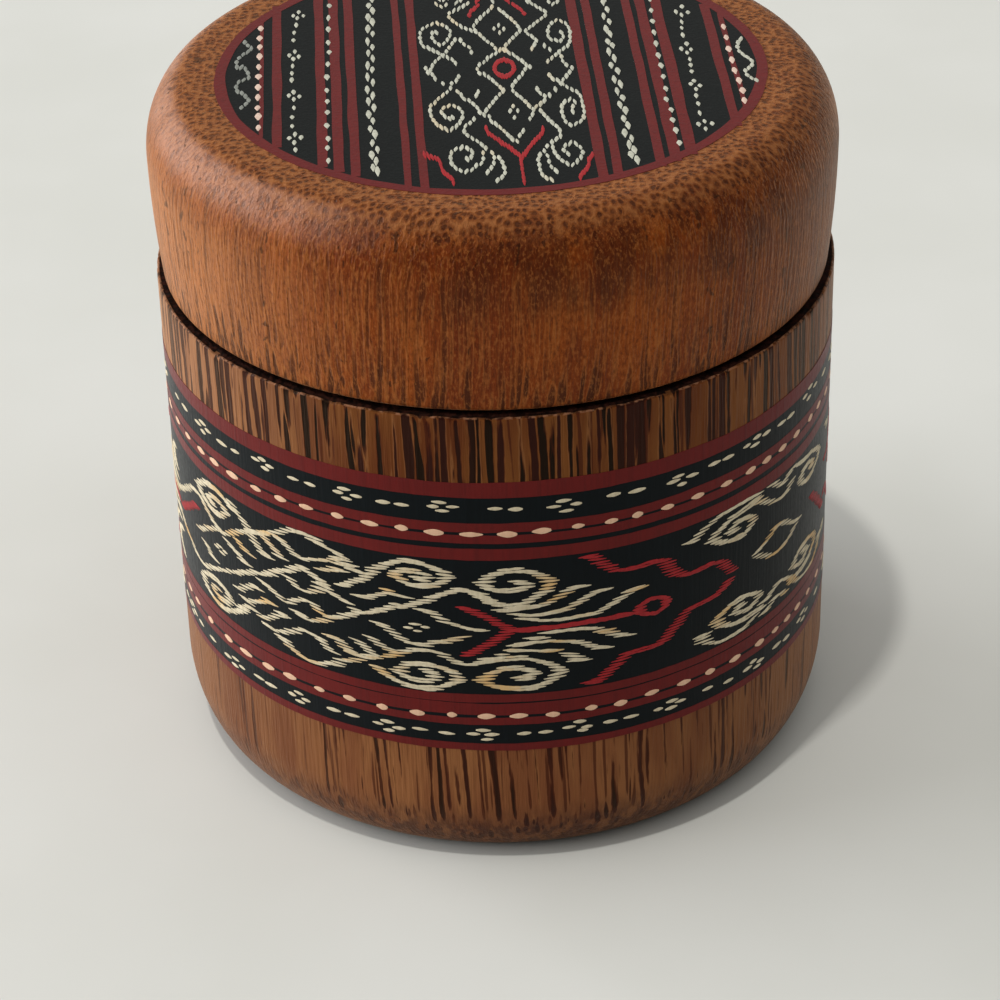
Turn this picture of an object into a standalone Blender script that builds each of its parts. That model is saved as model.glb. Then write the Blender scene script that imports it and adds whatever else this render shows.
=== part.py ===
"""Turned palm-wood trinket box: a round base with a raised spigot, and a hollow lid that slips over it.

Metres, +Z up. The origin is the centre of the flat underside, so the box stands on z = 0.
"""
import math

import bmesh
import bpy

# Both blocks are turned to this radius, so that the lid's belly is flush with the base's wall
BODY_RADIUS = 0.040

# Base, turned from one block
SHOULDER_HEIGHT = 0.0616
FOOT_TUCK = 0.0052
FOOT_RISE = 0.0096
FLOOR_THICKNESS = 0.0070
WALL_THICKNESS = 0.0075
BORE_CORNER = 0.0030
RIM_ARRIS = 0.0003

# Spigot, the raised inner ring that centres the lid, set in from the wall by the ledge that the lid sits on
LEDGE_WIDTH = 0.0045
SPIGOT_HEIGHT = 0.0070
SPIGOT_ROUND = 0.0006
SPIGOT_RELIEF = 0.0004

# Lid, turned from a second block
LID_HEIGHT = 0.0224
LID_BELLY_DROP = 0.0077
LID_TUCK = 0.0008
LID_SHOULDER_WIDTH = 0.0054
LID_EDGE_ROUND = 0.0007
LID_RECESS_DEPTH = 0.0140
LID_RECESS_CORNER = 0.0025
LID_MOUTH_ROUND = 0.0004

# Clearances between the two pieces
SEAT_GAP = 0.0003
SPIGOT_CLEARANCE = 0.0003

# Fineness of the turned surfaces, in counts
TURN_STEPS = 96
LARGE_ARC_STEPS = 8
SMALL_ARC_STEPS = 3
BARREL_STEPS = 6

# Points closer than this to the axis are one point
WELD_DISTANCE = 0.000001
SMOOTH_ANGLE = math.radians(30)

BORE_RADIUS = BODY_RADIUS - WALL_THICKNESS
SPIGOT_RADIUS = BODY_RADIUS - LEDGE_WIDTH
SPIGOT_TOP = SHOULDER_HEIGHT + SPIGOT_HEIGHT
LID_TOP_RADIUS = BODY_RADIUS - LID_SHOULDER_WIDTH
LID_BOTTOM = SHOULDER_HEIGHT + SEAT_GAP
LID_TOP = LID_BOTTOM + LID_HEIGHT
LID_BELLY = LID_TOP - LID_BELLY_DROP
RECESS_RADIUS = SPIGOT_RADIUS + SPIGOT_CLEARANCE
RECESS_CEILING = LID_BOTTOM + LID_RECESS_DEPTH


def clear_scene():
    """Remove whatever the file holds before the box is made."""
    for item in list(bpy.data.objects):
        bpy.data.objects.remove(item, do_unlink=True)


def arc(centre, radii, start, end, steps):
    """Points of an elliptical arc in the (radius, height) plane, angles in degrees."""
    points = []
    for step in range(steps + 1):
        angle = math.radians(start + (end - start) * step / steps)
        across = centre[0] + radii[0] * math.cos(angle)
        up = centre[1] + radii[1] * math.sin(angle)
        points.append((across, up))
    return points


def rounded(centre, radius, start, end, steps=SMALL_ARC_STEPS):
    """Points of a circular fillet."""
    return arc(centre, (radius, radius), start, end, steps)


def barrel_radius(height):
    """Outer radius of the lid's side, which swells from its lower edge up to the belly."""
    fall = (LID_BELLY - height) / (LID_BELLY - LID_BOTTOM)
    return BODY_RADIUS - LID_TUCK * fall * fall


def base_profile():
    """From the middle of the cup's floor, over the spigot, down the outside and in to the axis."""
    bore_corner = (BORE_RADIUS - BORE_CORNER, FLOOR_THICKNESS + BORE_CORNER)
    spigot_inside = (BORE_RADIUS + SPIGOT_ROUND, SPIGOT_TOP - SPIGOT_ROUND)
    spigot_outside = (SPIGOT_RADIUS - SPIGOT_ROUND, SPIGOT_TOP - SPIGOT_ROUND)
    spigot_root = (SPIGOT_RADIUS + SPIGOT_RELIEF, SHOULDER_HEIGHT + SPIGOT_RELIEF)
    rim = (BODY_RADIUS - RIM_ARRIS, SHOULDER_HEIGHT - RIM_ARRIS)
    foot = (BODY_RADIUS - FOOT_TUCK, FOOT_RISE)

    profile = [(0, FLOOR_THICKNESS)]
    profile += rounded(bore_corner, BORE_CORNER, -90, 0, LARGE_ARC_STEPS)
    profile += rounded(spigot_inside, SPIGOT_ROUND, 180, 90)
    profile += rounded(spigot_outside, SPIGOT_ROUND, 90, 0)
    profile += [(SPIGOT_RADIUS, spigot_root[1]), (spigot_root[0], SHOULDER_HEIGHT)]
    profile += rounded(rim, RIM_ARRIS, 90, 0)
    profile += arc(foot, (FOOT_TUCK, FOOT_RISE), 0, -90, LARGE_ARC_STEPS)
    profile += [(0, 0)]
    return profile


def lid_profile():
    """From the middle of the flat top, over the shoulder, down the barrel side and up into the recess."""
    shoulder = (LID_TOP_RADIUS, LID_BELLY)
    shoulder_radii = (LID_SHOULDER_WIDTH, LID_BELLY_DROP)
    edge_start = LID_BOTTOM + LID_EDGE_ROUND
    edge = (barrel_radius(edge_start) - LID_EDGE_ROUND, edge_start)
    mouth = (RECESS_RADIUS + LID_MOUTH_ROUND, LID_BOTTOM + LID_MOUTH_ROUND)
    corner = (RECESS_RADIUS - LID_RECESS_CORNER, RECESS_CEILING - LID_RECESS_CORNER)

    profile = [(0, LID_TOP)]
    profile += arc(shoulder, shoulder_radii, 90, 0, LARGE_ARC_STEPS)
    for step in range(1, BARREL_STEPS):
        height = LID_BELLY + (edge_start - LID_BELLY) * step / BARREL_STEPS
        profile.append((barrel_radius(height), height))
    profile += rounded(edge, LID_EDGE_ROUND, 0, -90)
    profile += rounded(mouth, LID_MOUTH_ROUND, 270, 180)
    profile += rounded(corner, LID_RECESS_CORNER, 0, 90)
    profile += [(0, RECESS_CEILING)]
    return profile


def turn(name, profile, material):
    """Turn a (radius, height) profile about the Z axis into one closed body."""
    shape = bmesh.new()
    corners = [shape.verts.new((across, 0, up)) for across, up in profile]
    for first, second in zip(corners, corners[1:]):
        shape.edges.new((first, second))
    bmesh.ops.spin(
        shape,
        geom=shape.verts[:] + shape.edges[:],
        cent=(0, 0, 0),
        axis=(0, 0, 1),
        angle=math.tau,
        steps=TURN_STEPS,
        use_merge=True,
    )
    bmesh.ops.remove_doubles(shape, verts=shape.verts[:], dist=WELD_DISTANCE)
    bmesh.ops.recalc_face_normals(shape, faces=shape.faces[:])

    mesh = bpy.data.meshes.new(name)
    shape.to_mesh(mesh)
    shape.free()
    mesh.shade_smooth()
    mesh.set_sharp_from_angle(angle=SMOOTH_ANGLE)
    mesh.materials.append(material)
    piece = bpy.data.objects.new(name, mesh)
    bpy.context.scene.collection.objects.link(piece)
    return piece


def wood(name, colour, roughness):
    """A lacquered wood, as one Principled material."""
    material = bpy.data.materials.new(name)
    material.use_nodes = True
    shader = material.node_tree.nodes["Principled BSDF"]
    shader.inputs["Base Color"].default_value = (*colour, 1)
    shader.inputs["Roughness"].default_value = roughness
    shader.inputs["Metallic"].default_value = 0
    return material


def build():
    clear_scene()
    streaked = wood("streaked_palm_wood", (0.30, 0.13, 0.045), 0.45)
    reddish = wood("reddish_palm_wood", (0.33, 0.11, 0.035), 0.40)
    turn("base", base_profile(), streaked)
    turn("lid", lid_profile(), reddish)


build()
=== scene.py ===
"""The looks of a turned palm-wood trinket box, painted in the manner of a traditional ikat cloth.

Lengths in this script are millimetres, and become metres when a mesh is made. +Z is up and -Y is the front.
A place on the wall is (degrees from the front, mm below the rim). A place on the lid's top is
(mm to the right, mm back).
"""
import math
import random

import bpy
from mathutils import Matrix, Vector, noise


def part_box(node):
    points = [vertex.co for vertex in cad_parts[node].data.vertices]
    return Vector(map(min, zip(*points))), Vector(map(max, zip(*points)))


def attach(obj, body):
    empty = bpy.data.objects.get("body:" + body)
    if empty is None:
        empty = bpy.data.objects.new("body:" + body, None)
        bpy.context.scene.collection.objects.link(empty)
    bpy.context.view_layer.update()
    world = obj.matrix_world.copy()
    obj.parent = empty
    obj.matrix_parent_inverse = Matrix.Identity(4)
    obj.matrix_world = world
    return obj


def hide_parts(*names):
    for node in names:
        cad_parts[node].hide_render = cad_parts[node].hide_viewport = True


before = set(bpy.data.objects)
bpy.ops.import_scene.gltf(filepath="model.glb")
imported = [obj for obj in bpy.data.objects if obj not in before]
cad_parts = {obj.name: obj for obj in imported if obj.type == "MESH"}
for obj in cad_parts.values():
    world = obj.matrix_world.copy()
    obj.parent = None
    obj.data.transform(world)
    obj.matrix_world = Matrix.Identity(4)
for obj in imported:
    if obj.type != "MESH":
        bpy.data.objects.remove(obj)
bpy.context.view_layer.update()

MM = 0.001

# The turned shapes, worked out from the frame and from the pieces' own small sizes
BODY_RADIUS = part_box("base")[1].x / MM
SPIGOT_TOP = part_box("base")[1].z / MM
LID_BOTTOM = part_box("lid")[0].z / MM
LID_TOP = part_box("lid")[1].z / MM
SEAT_GAP = 0.3
RIM = LID_BOTTOM - SEAT_GAP
FOOT_TUCK = 5.2
FOOT_RISE = 9.6
FLOOR = 7.0
WALL_THICKNESS = 7.5
BORE_RADIUS = BODY_RADIUS - WALL_THICKNESS
BORE_CORNER = 3.0
LEDGE_WIDTH = 4.5
SPIGOT_RADIUS = BODY_RADIUS - LEDGE_WIDTH
SPIGOT_ROUND = 0.6
SPIGOT_RELIEF = 0.4
RIM_ARRIS = 0.3
LID_BELLY_DROP = 7.7
LID_BELLY = LID_TOP - LID_BELLY_DROP
LID_TUCK = 0.8
LID_SHOULDER_WIDTH = 5.4
LID_EDGE_ROUND = 0.7
LID_MOUTH_ROUND = 0.4
SPIGOT_CLEARANCE = 0.3
LID_RECESS_RADIUS = SPIGOT_RADIUS + SPIGOT_CLEARANCE
LID_RECESS_DEPTH = 14.0
LID_RECESS_CEILING = LID_BOTTOM + LID_RECESS_DEPTH
LID_RECESS_CORNER = 2.5
# Points round each turned surface and each painted ring
AROUND = 512

# Wear: how deep and how far in from the rim's arris chips go, and how rough the ledge's end grain is
CHIP_DEPTH = 0.32
CHIP_REACH = 0.9
LEDGE_ROUGHNESS = 0.10
# How fine the chips and the ledge's grain are, in features per mm
COARSE_CHIPS = 0.55
FINE_CHIPS = 1.3
LEDGE_GRAIN = 1.5

# Depth of the relief in the woods and in the paints
WOOD_RELIEF = 0.045
PAINT_RELIEF = 0.02

# How far each coat of paint stands off the wood
GROUND_LIFT = 0.025
STRIPE_LIFT = 0.045
DAB_LIFT = 0.055
DAB_DOME = 0.05
PAINT_ROOT = -0.06
# How much lower than the red ring round the lid's disc the stripes are that run under its edge
STRIPE_DROP = 0.004

# How a dab narrows towards its ends, a low number being more pointed
POINTED = 1.4
BLUNT = 1.7
# The value on each point of the dabs that tints them
TINT = "tint"

# Edges of the wall's painted stripes, mm below the rim
WALL_GROUND = (8.5, 44.4)
WALL_RED_STRIPES = [
    (8.2, 10.15), (13.5, 14.74), (15.06, 16.2), (16.9, 18.4),
    (36.8, 37.92), (38.06, 39.72), (40.08, 41.1), (43.75, 44.75),
]
STRIPE_WOBBLE = 0.07

# Sideways lean of the palm's fibres, mm per mm of height
BASE_LEAN = 0.03
LID_LEAN = -0.05

# mm along the wall for each degree round it
MM_PER_DEGREE = math.radians(1) * BODY_RADIUS

# The least run that a slope is worked out from, and the slope of a path with less than that
TINY = 0.0001
STEEPEST = 1000.0

# Painted disc on the lid
DISC_RADIUS = 31.67
DISC_RING_WIDTH = 1.3
DISC_LEAN = 0.046
DISC_RED_STRIPES = [
    (-26.5, -26.05), (-25.05, -24.0), (-20.1, -19.0), (-18.4, -17.25), (-16.6, -15.55), (-10.9, -10.05),
    (-9.2, -8.25), (9.9, 11.1), (11.7, 12.75), (16.5, 17.55), (18.1, 19.3), (19.95, 21.2), (25.7, 26.8),
    (27.5, 28.1),
]

# The camera, from the photograph's perspective
CAMERA_DISTANCE = 398.48
CAMERA_AIM_HEIGHT = 25.59
CAMERA_ELEVATION = math.radians(32.5868)
CAMERA_PAN = math.radians(-0.0384)
CAMERA_ROLL = math.radians(1.4827)
CAMERA_LENS = 115.2
CAMERA_SENSOR = 36.0

# Lights: (direction from the box, distance, size, watts, colour)
WINDOW = ((-0.945, 0.20, 0.26), 4000, (4800, 1800), 192.0, (0.985, 0.995, 1.0))
LAMP = ((-0.150, -0.205, 0.967), 5000, (190, 190), 66.0, (1.0, 0.97, 0.91))
LIGHT_AIM = (0, 0, 40)
ROOM_COLOUR = (0.95, 0.94, 0.90, 1)
ROOM_OVERHEAD = 0.90
ROOM_BEHIND = 0.16
ROOM_EVEN = 0.05
TABLE_REACH = 8000.0


def arc(centre, radii, start, end, steps):
    """Points of an elliptical arc in the (radius, height) plane, angles in degrees."""
    points = []
    for step in range(steps + 1):
        angle = math.radians(start + (end - start) * step / steps)
        points.append((centre[0] + radii[0] * math.cos(angle), centre[1] + radii[1] * math.sin(angle)))
    return points


def run(start, end, steps):
    """Points of a straight run between two points, without the ends."""
    return [
        (start[0] + (end[0] - start[0]) * step / steps, start[1] + (end[1] - start[1]) * step / steps)
        for step in range(1, steps)
    ]


def barrel_radius(height):
    """Outer radius of the lid's side, which swells from its lower edge up to the belly."""
    fall = (LID_BELLY - height) / (LID_BELLY - LID_BOTTOM)
    return BODY_RADIUS - LID_TUCK * fall * fall


def base_profile():
    """From the middle of the cup's floor, over the spigot and the ledge, down the wall and in to the axis."""
    inner = arc((BORE_RADIUS - BORE_CORNER, FLOOR + BORE_CORNER), (BORE_CORNER, BORE_CORNER), -90, 0, 10)
    inside_top = (BORE_RADIUS + SPIGOT_ROUND, SPIGOT_TOP - SPIGOT_ROUND)
    outside_top = (SPIGOT_RADIUS - SPIGOT_ROUND, SPIGOT_TOP - SPIGOT_ROUND)
    rounding = (SPIGOT_ROUND, SPIGOT_ROUND)
    spigot = arc(inside_top, rounding, 180, 90, 5) + arc(outside_top, rounding, 90, 0, 5)
    root = [(SPIGOT_RADIUS, RIM + SPIGOT_RELIEF), (SPIGOT_RADIUS + SPIGOT_RELIEF, RIM)]
    rim = (BODY_RADIUS - RIM_ARRIS, RIM - RIM_ARRIS)
    arris = arc(rim, (RIM_ARRIS, RIM_ARRIS), 90, 0, 4)
    band = (BODY_RADIUS, RIM - 1.2)
    foot = arc((BODY_RADIUS - FOOT_TUCK, FOOT_RISE), (FOOT_TUCK, FOOT_RISE), 0, -90, 24)

    profile = [(0, FLOOR)] + run((0, FLOOR), inner[0], 6) + inner + run(inner[-1], spigot[0], 10)
    profile += spigot + root + run(root[-1], arris[0], 14) + arris
    profile += run(arris[-1], band, 4) + [band]
    profile += run(band, foot[0], 20) + foot + run(foot[-1], (0, 0), 6) + [(0, 0)]
    return profile


def lid_profile():
    """From the middle of the flat top, over the shoulder, down the barrel side and up into the recess."""
    shoulder_radii = (LID_SHOULDER_WIDTH, LID_TOP - LID_BELLY)
    shoulder = arc((BODY_RADIUS - LID_SHOULDER_WIDTH, LID_BELLY), shoulder_radii, 90, 0, 24)
    edge_start = LID_BOTTOM + LID_EDGE_ROUND
    side = []
    for step in range(1, 14):
        height = LID_BELLY + (edge_start - LID_BELLY) * step / 14
        side.append((barrel_radius(height), height))
    edge_centre = (barrel_radius(edge_start) - LID_EDGE_ROUND, edge_start)
    edge = arc(edge_centre, (LID_EDGE_ROUND, LID_EDGE_ROUND), 0, -90, 5)
    mouth_centre = (LID_RECESS_RADIUS + LID_MOUTH_ROUND, LID_BOTTOM + LID_MOUTH_ROUND)
    mouth = arc(mouth_centre, (LID_MOUTH_ROUND, LID_MOUTH_ROUND), 270, 180, 4)
    corner_centre = (LID_RECESS_RADIUS - LID_RECESS_CORNER, LID_RECESS_CEILING - LID_RECESS_CORNER)
    corner = arc(corner_centre, (LID_RECESS_CORNER, LID_RECESS_CORNER), 0, 90, 8)

    profile = [(0, LID_TOP)] + run((0, LID_TOP), shoulder[0], 12) + shoulder + side + edge
    profile += run(edge[-1], mouth[0], 5) + mouth + run(mouth[-1], corner[0], 5) + corner
    profile += run(corner[-1], (0, LID_RECESS_CEILING), 6) + [(0, LID_RECESS_CEILING)]
    return profile


def piece(name, vertices, faces, material, body, slot, sharp=40):
    """One mesh object from points in millimetres, riding on its body. Edges over sharp degrees stay crisp."""
    mesh = bpy.data.meshes.new(name)
    mesh.from_pydata([Vector(vertex) * MM for vertex in vertices], [], faces)
    mesh.validate()
    mesh.shade_smooth()
    mesh.set_sharp_from_angle(angle=math.radians(sharp))
    mesh.materials.append(material)
    made = bpy.data.objects.new(name, mesh)
    bpy.context.scene.collection.objects.link(made)
    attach(made, body)
    return made


def turned(profile, wear=None):
    """Vertices and faces of a (radius, height) profile turned about the Z axis, its ends on the axis."""
    inner = profile[1:-1]
    vertices = [(0, 0, profile[0][1])]
    for across, up in inner:
        for step in range(AROUND):
            angle = math.tau * step / AROUND
            radius, height = wear(angle, across, up) if wear else (across, up)
            vertices.append((radius * math.sin(angle), -radius * math.cos(angle), height))
    vertices.append((0, 0, profile[-1][1]))
    last = len(vertices) - 1
    faces = []
    for step in range(AROUND):
        following = (step + 1) % AROUND
        faces.append((0, 1 + step, 1 + following))
        for ring in range(len(inner) - 1):
            here = 1 + ring * AROUND
            below = here + AROUND
            faces.append((here + step, below + step, below + following, here + following))
        bottom = 1 + (len(inner) - 1) * AROUND
        faces.append((bottom + step, last, bottom + following))
    return vertices, faces


def rim_wear(angle, radius, height):
    """Chips the rim's arris and roughens the ledge, where the end grain stands open."""
    near_rim = RIM - 1.3 < height < RIM + 0.05 and radius > SPIGOT_RADIUS + SPIGOT_RELIEF
    if not near_rim:
        return radius, height
    place = Vector((math.sin(angle), -math.cos(angle), 0)) * BODY_RADIUS
    coarse = noise.noise(Vector((place.x * COARSE_CHIPS, place.y * COARSE_CHIPS, 9)))
    fine = noise.noise(Vector((place.x * FINE_CHIPS, place.y * FINE_CHIPS, 3)))
    chip = max(0, coarse - 0.12) * 2.2 + max(0, fine) * 0.35
    to_edge = max(0, 1 - math.hypot(BODY_RADIUS - radius, RIM - height) / CHIP_REACH)
    cut = min(1, chip) * CHIP_DEPTH * to_edge
    if height > RIM - 0.001 and radius < BODY_RADIUS - 0.25:
        across, back = math.sin(angle) * radius, -math.cos(angle) * radius
        spot = Vector((across * LEDGE_GRAIN, back * LEDGE_GRAIN, 5))
        height += LEDGE_ROUGHNESS * (noise.noise(spot) - 0.5)
    return radius - cut * 0.6, height - cut


# Materials


def linear(red, green, blue):
    """Scene-linear colour from the usual 0 to 255 values."""
    channels = [value / 255 for value in (red, green, blue)]
    return tuple(c / 12.92 if c <= 0.04045 else ((c + 0.055) / 1.055) ** 2.4 for c in channels) + (1,)


class Nodes:
    """A node tree and short ways to add to it. A value is a number or a socket."""

    def __init__(self, tree):
        self.tree = tree

    def add(self, kind, inputs=None, **settings):
        node = self.tree.nodes.new(kind)
        for key, value in settings.items():
            setattr(node, key, value)
        for key, value in (inputs or {}).items():
            self.feed(node.inputs[key], value)
        return node

    def feed(self, socket, value):
        if isinstance(value, bpy.types.NodeSocket):
            self.tree.links.new(value, socket)
        else:
            socket.default_value = value

    def math(self, operation, first, second=0.0, clamp=False):
        node = self.add("ShaderNodeMath", {0: first, 1: second}, operation=operation, use_clamp=clamp)
        return node.outputs[0]

    def plus(self, first, second, clamp=False):
        return self.math("ADD", first, second, clamp)

    def minus(self, first, second):
        return self.math("SUBTRACT", first, second)

    def times(self, *factors, clamp=False):
        """The product of two or more values, and the whole product is held to 0..1 by the clamp."""
        product = factors[0]
        for factor in factors[1:-1]:
            product = self.math("MULTIPLY", product, factor)
        return self.math("MULTIPLY", product, factors[-1], clamp)

    def split(self, vector):
        return self.add("ShaderNodeSeparateXYZ", {0: vector}).outputs


class Recipe(Nodes):
    """A node-built material around one Principled shader. Its coordinates are millimetres on the piece."""

    def __init__(self, name):
        self.material = bpy.data.materials.new(name)
        self.material.use_nodes = True
        super().__init__(self.material.node_tree)
        self.shader = self.tree.nodes["Principled BSDF"]
        self.here = self.vector("SCALE", self.add("ShaderNodeTexCoord").outputs["Object"], scale=1 / MM)

    def set(self, **values):
        for key, value in values.items():
            self.feed(self.shader.inputs[key.replace("_", " ")], value)

    def fix(self, name, value):
        """Sets a value that is the same all over, on the shader's own socket."""
        self.shader.inputs[name].default_value = value

    def vector(self, operation, first, second=None, scale=None):
        inputs = {0: first}
        if second is not None:
            inputs[1] = second
        if scale is not None:
            inputs["Scale"] = scale
        return self.add("ShaderNodeVectorMath", inputs, operation=operation).outputs[0]

    def noise(self, place, scale=1.0, detail=2.0, roughness=0.5):
        inputs = {"Vector": place, "Scale": scale, "Detail": detail, "Roughness": roughness}
        return self.add("ShaderNodeTexNoise", inputs)

    def cloud(self, fineness, detail=2.0, roughness=0.5):
        """Noise on the piece, with its own fineness along each axis."""
        place = self.vector("MULTIPLY", self.here, fineness)
        return self.noise(place, detail=detail, roughness=roughness).outputs[0]

    def facing_up(self):
        """1 where the surface faces up, 0 where it is upright and -1 where it faces down."""
        return self.split(self.add("ShaderNodeTexCoord").outputs["Normal"])[2]

    def part(self, colour, channel):
        return self.add("ShaderNodeSeparateColor", {0: colour}).outputs[channel]

    def spread(self, value, low, high, new_low=0.0, new_high=1.0):
        """Maps low..high onto new_low..new_high, held at both ends."""
        inputs = {"Value": value, "From Min": low, "From Max": high, "To Min": new_low, "To Max": new_high}
        return self.add("ShaderNodeMapRange", inputs, interpolation_type="SMOOTHSTEP").outputs[0]

    def mix(self, share, first, second):
        inputs = {"Factor": share, 6: first, 7: second}
        return self.add("ShaderNodeMix", inputs, data_type="RGBA").outputs[2]

    def over(self, colour, tone, *masks):
        """The tone laid over the colour, as far as the masks together let it."""
        share = self.times(*masks) if len(masks) > 1 else masks[0]
        return self.mix(share, colour, tone)

    def bump(self, height, depth, strength):
        inputs = {"Height": height, "Distance": depth * MM, "Strength": strength}
        return self.add("ShaderNodeBump", inputs).outputs[0]

    def bundles(self, pitch, wander, seed, lean, rise=0.06, randomness=0.85, hurry=None):
        """(distance, random) of upright bundles of fibre, in widths of a bundle's own cell.

        Each bundle leans and wanders by itself on its way up, so it is a dot on end grain and a pointed
        streak on the side. Where the hurry changes fast with height the streaks are short.
        """
        place = self.vector("ADD", self.here, (seed, -seed, seed * 0.5))
        slant = self.times(self.split(self.here)[2], lean)
        place = self.vector("ADD", place, self.add("ShaderNodeCombineXYZ", {0: slant}).outputs[0])
        own_place = self.vector("MULTIPLY", place, (0.36, 0.36, rise))
        if hurry is not None:
            hurried = self.add("ShaderNodeCombineXYZ", {2: hurry}).outputs[0]
            own_place = self.vector("ADD", own_place, hurried)
        own = self.noise(own_place, detail=1.0).outputs["Color"]
        shared_place = self.vector("MULTIPLY", place, (0.07, 0.07, 0.02))
        shared = self.noise(shared_place, detail=0.0).outputs["Color"]
        drift = self.vector("SUBTRACT", self.vector("ADD", own, shared), (1.0, 1.0, 1.0))
        place = self.vector("ADD", place, self.vector("MULTIPLY", drift, (wander, wander, 0)))
        scaled = self.vector("SCALE", place, scale=1 / pitch)
        inputs = {"Vector": scaled, "Scale": 1.0, "Randomness": randomness}
        cell = self.add("ShaderNodeTexVoronoi", inputs, feature="F1", voronoi_dimensions="2D")
        fray = self.times(self.minus(self.cloud((4.5, 4.5, 0.5), detail=1.0), 0.5), 0.20)
        return self.plus(cell.outputs["Distance"], fray), cell.outputs["Color"]

    def hairs(self, fineness, length, low, high):
        """Fine upright fibres, as a mask."""
        fibres = self.cloud((fineness, fineness, 1 / length), detail=2.5, roughness=0.55)
        return self.spread(fibres, low, high)


def finish_wood(wood, colour, relief, gloss, sheen):
    """Satin lacquer over the wood, which follows its relief."""
    wood.set(Base_Color=colour)
    speck = wood.cloud((7.0, 7.0, 1.2))
    wood.set(Roughness=wood.spread(speck, 0.2, 0.8, 0.34, 0.50))
    wood.set(Normal=wood.bump(wood.plus(relief, wood.times(speck, 0.3)), WOOD_RELIEF, 0.9))
    wood.fix("Specular IOR Level", gloss)
    wood.fix("Specular Tint", (1.0, 0.70, 0.45, 1))
    wood.fix("Sheen Weight", sheen)
    wood.fix("Sheen Roughness", 0.45)
    wood.fix("Sheen Tint", (1.0, 0.56, 0.30, 1))
    return wood.material


# Both woods are toned from side to side: paler on the upper left, darker on the right and low down.
# It stands in for the photograph's strong side light, which the soft light here doesn't give.


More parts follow.
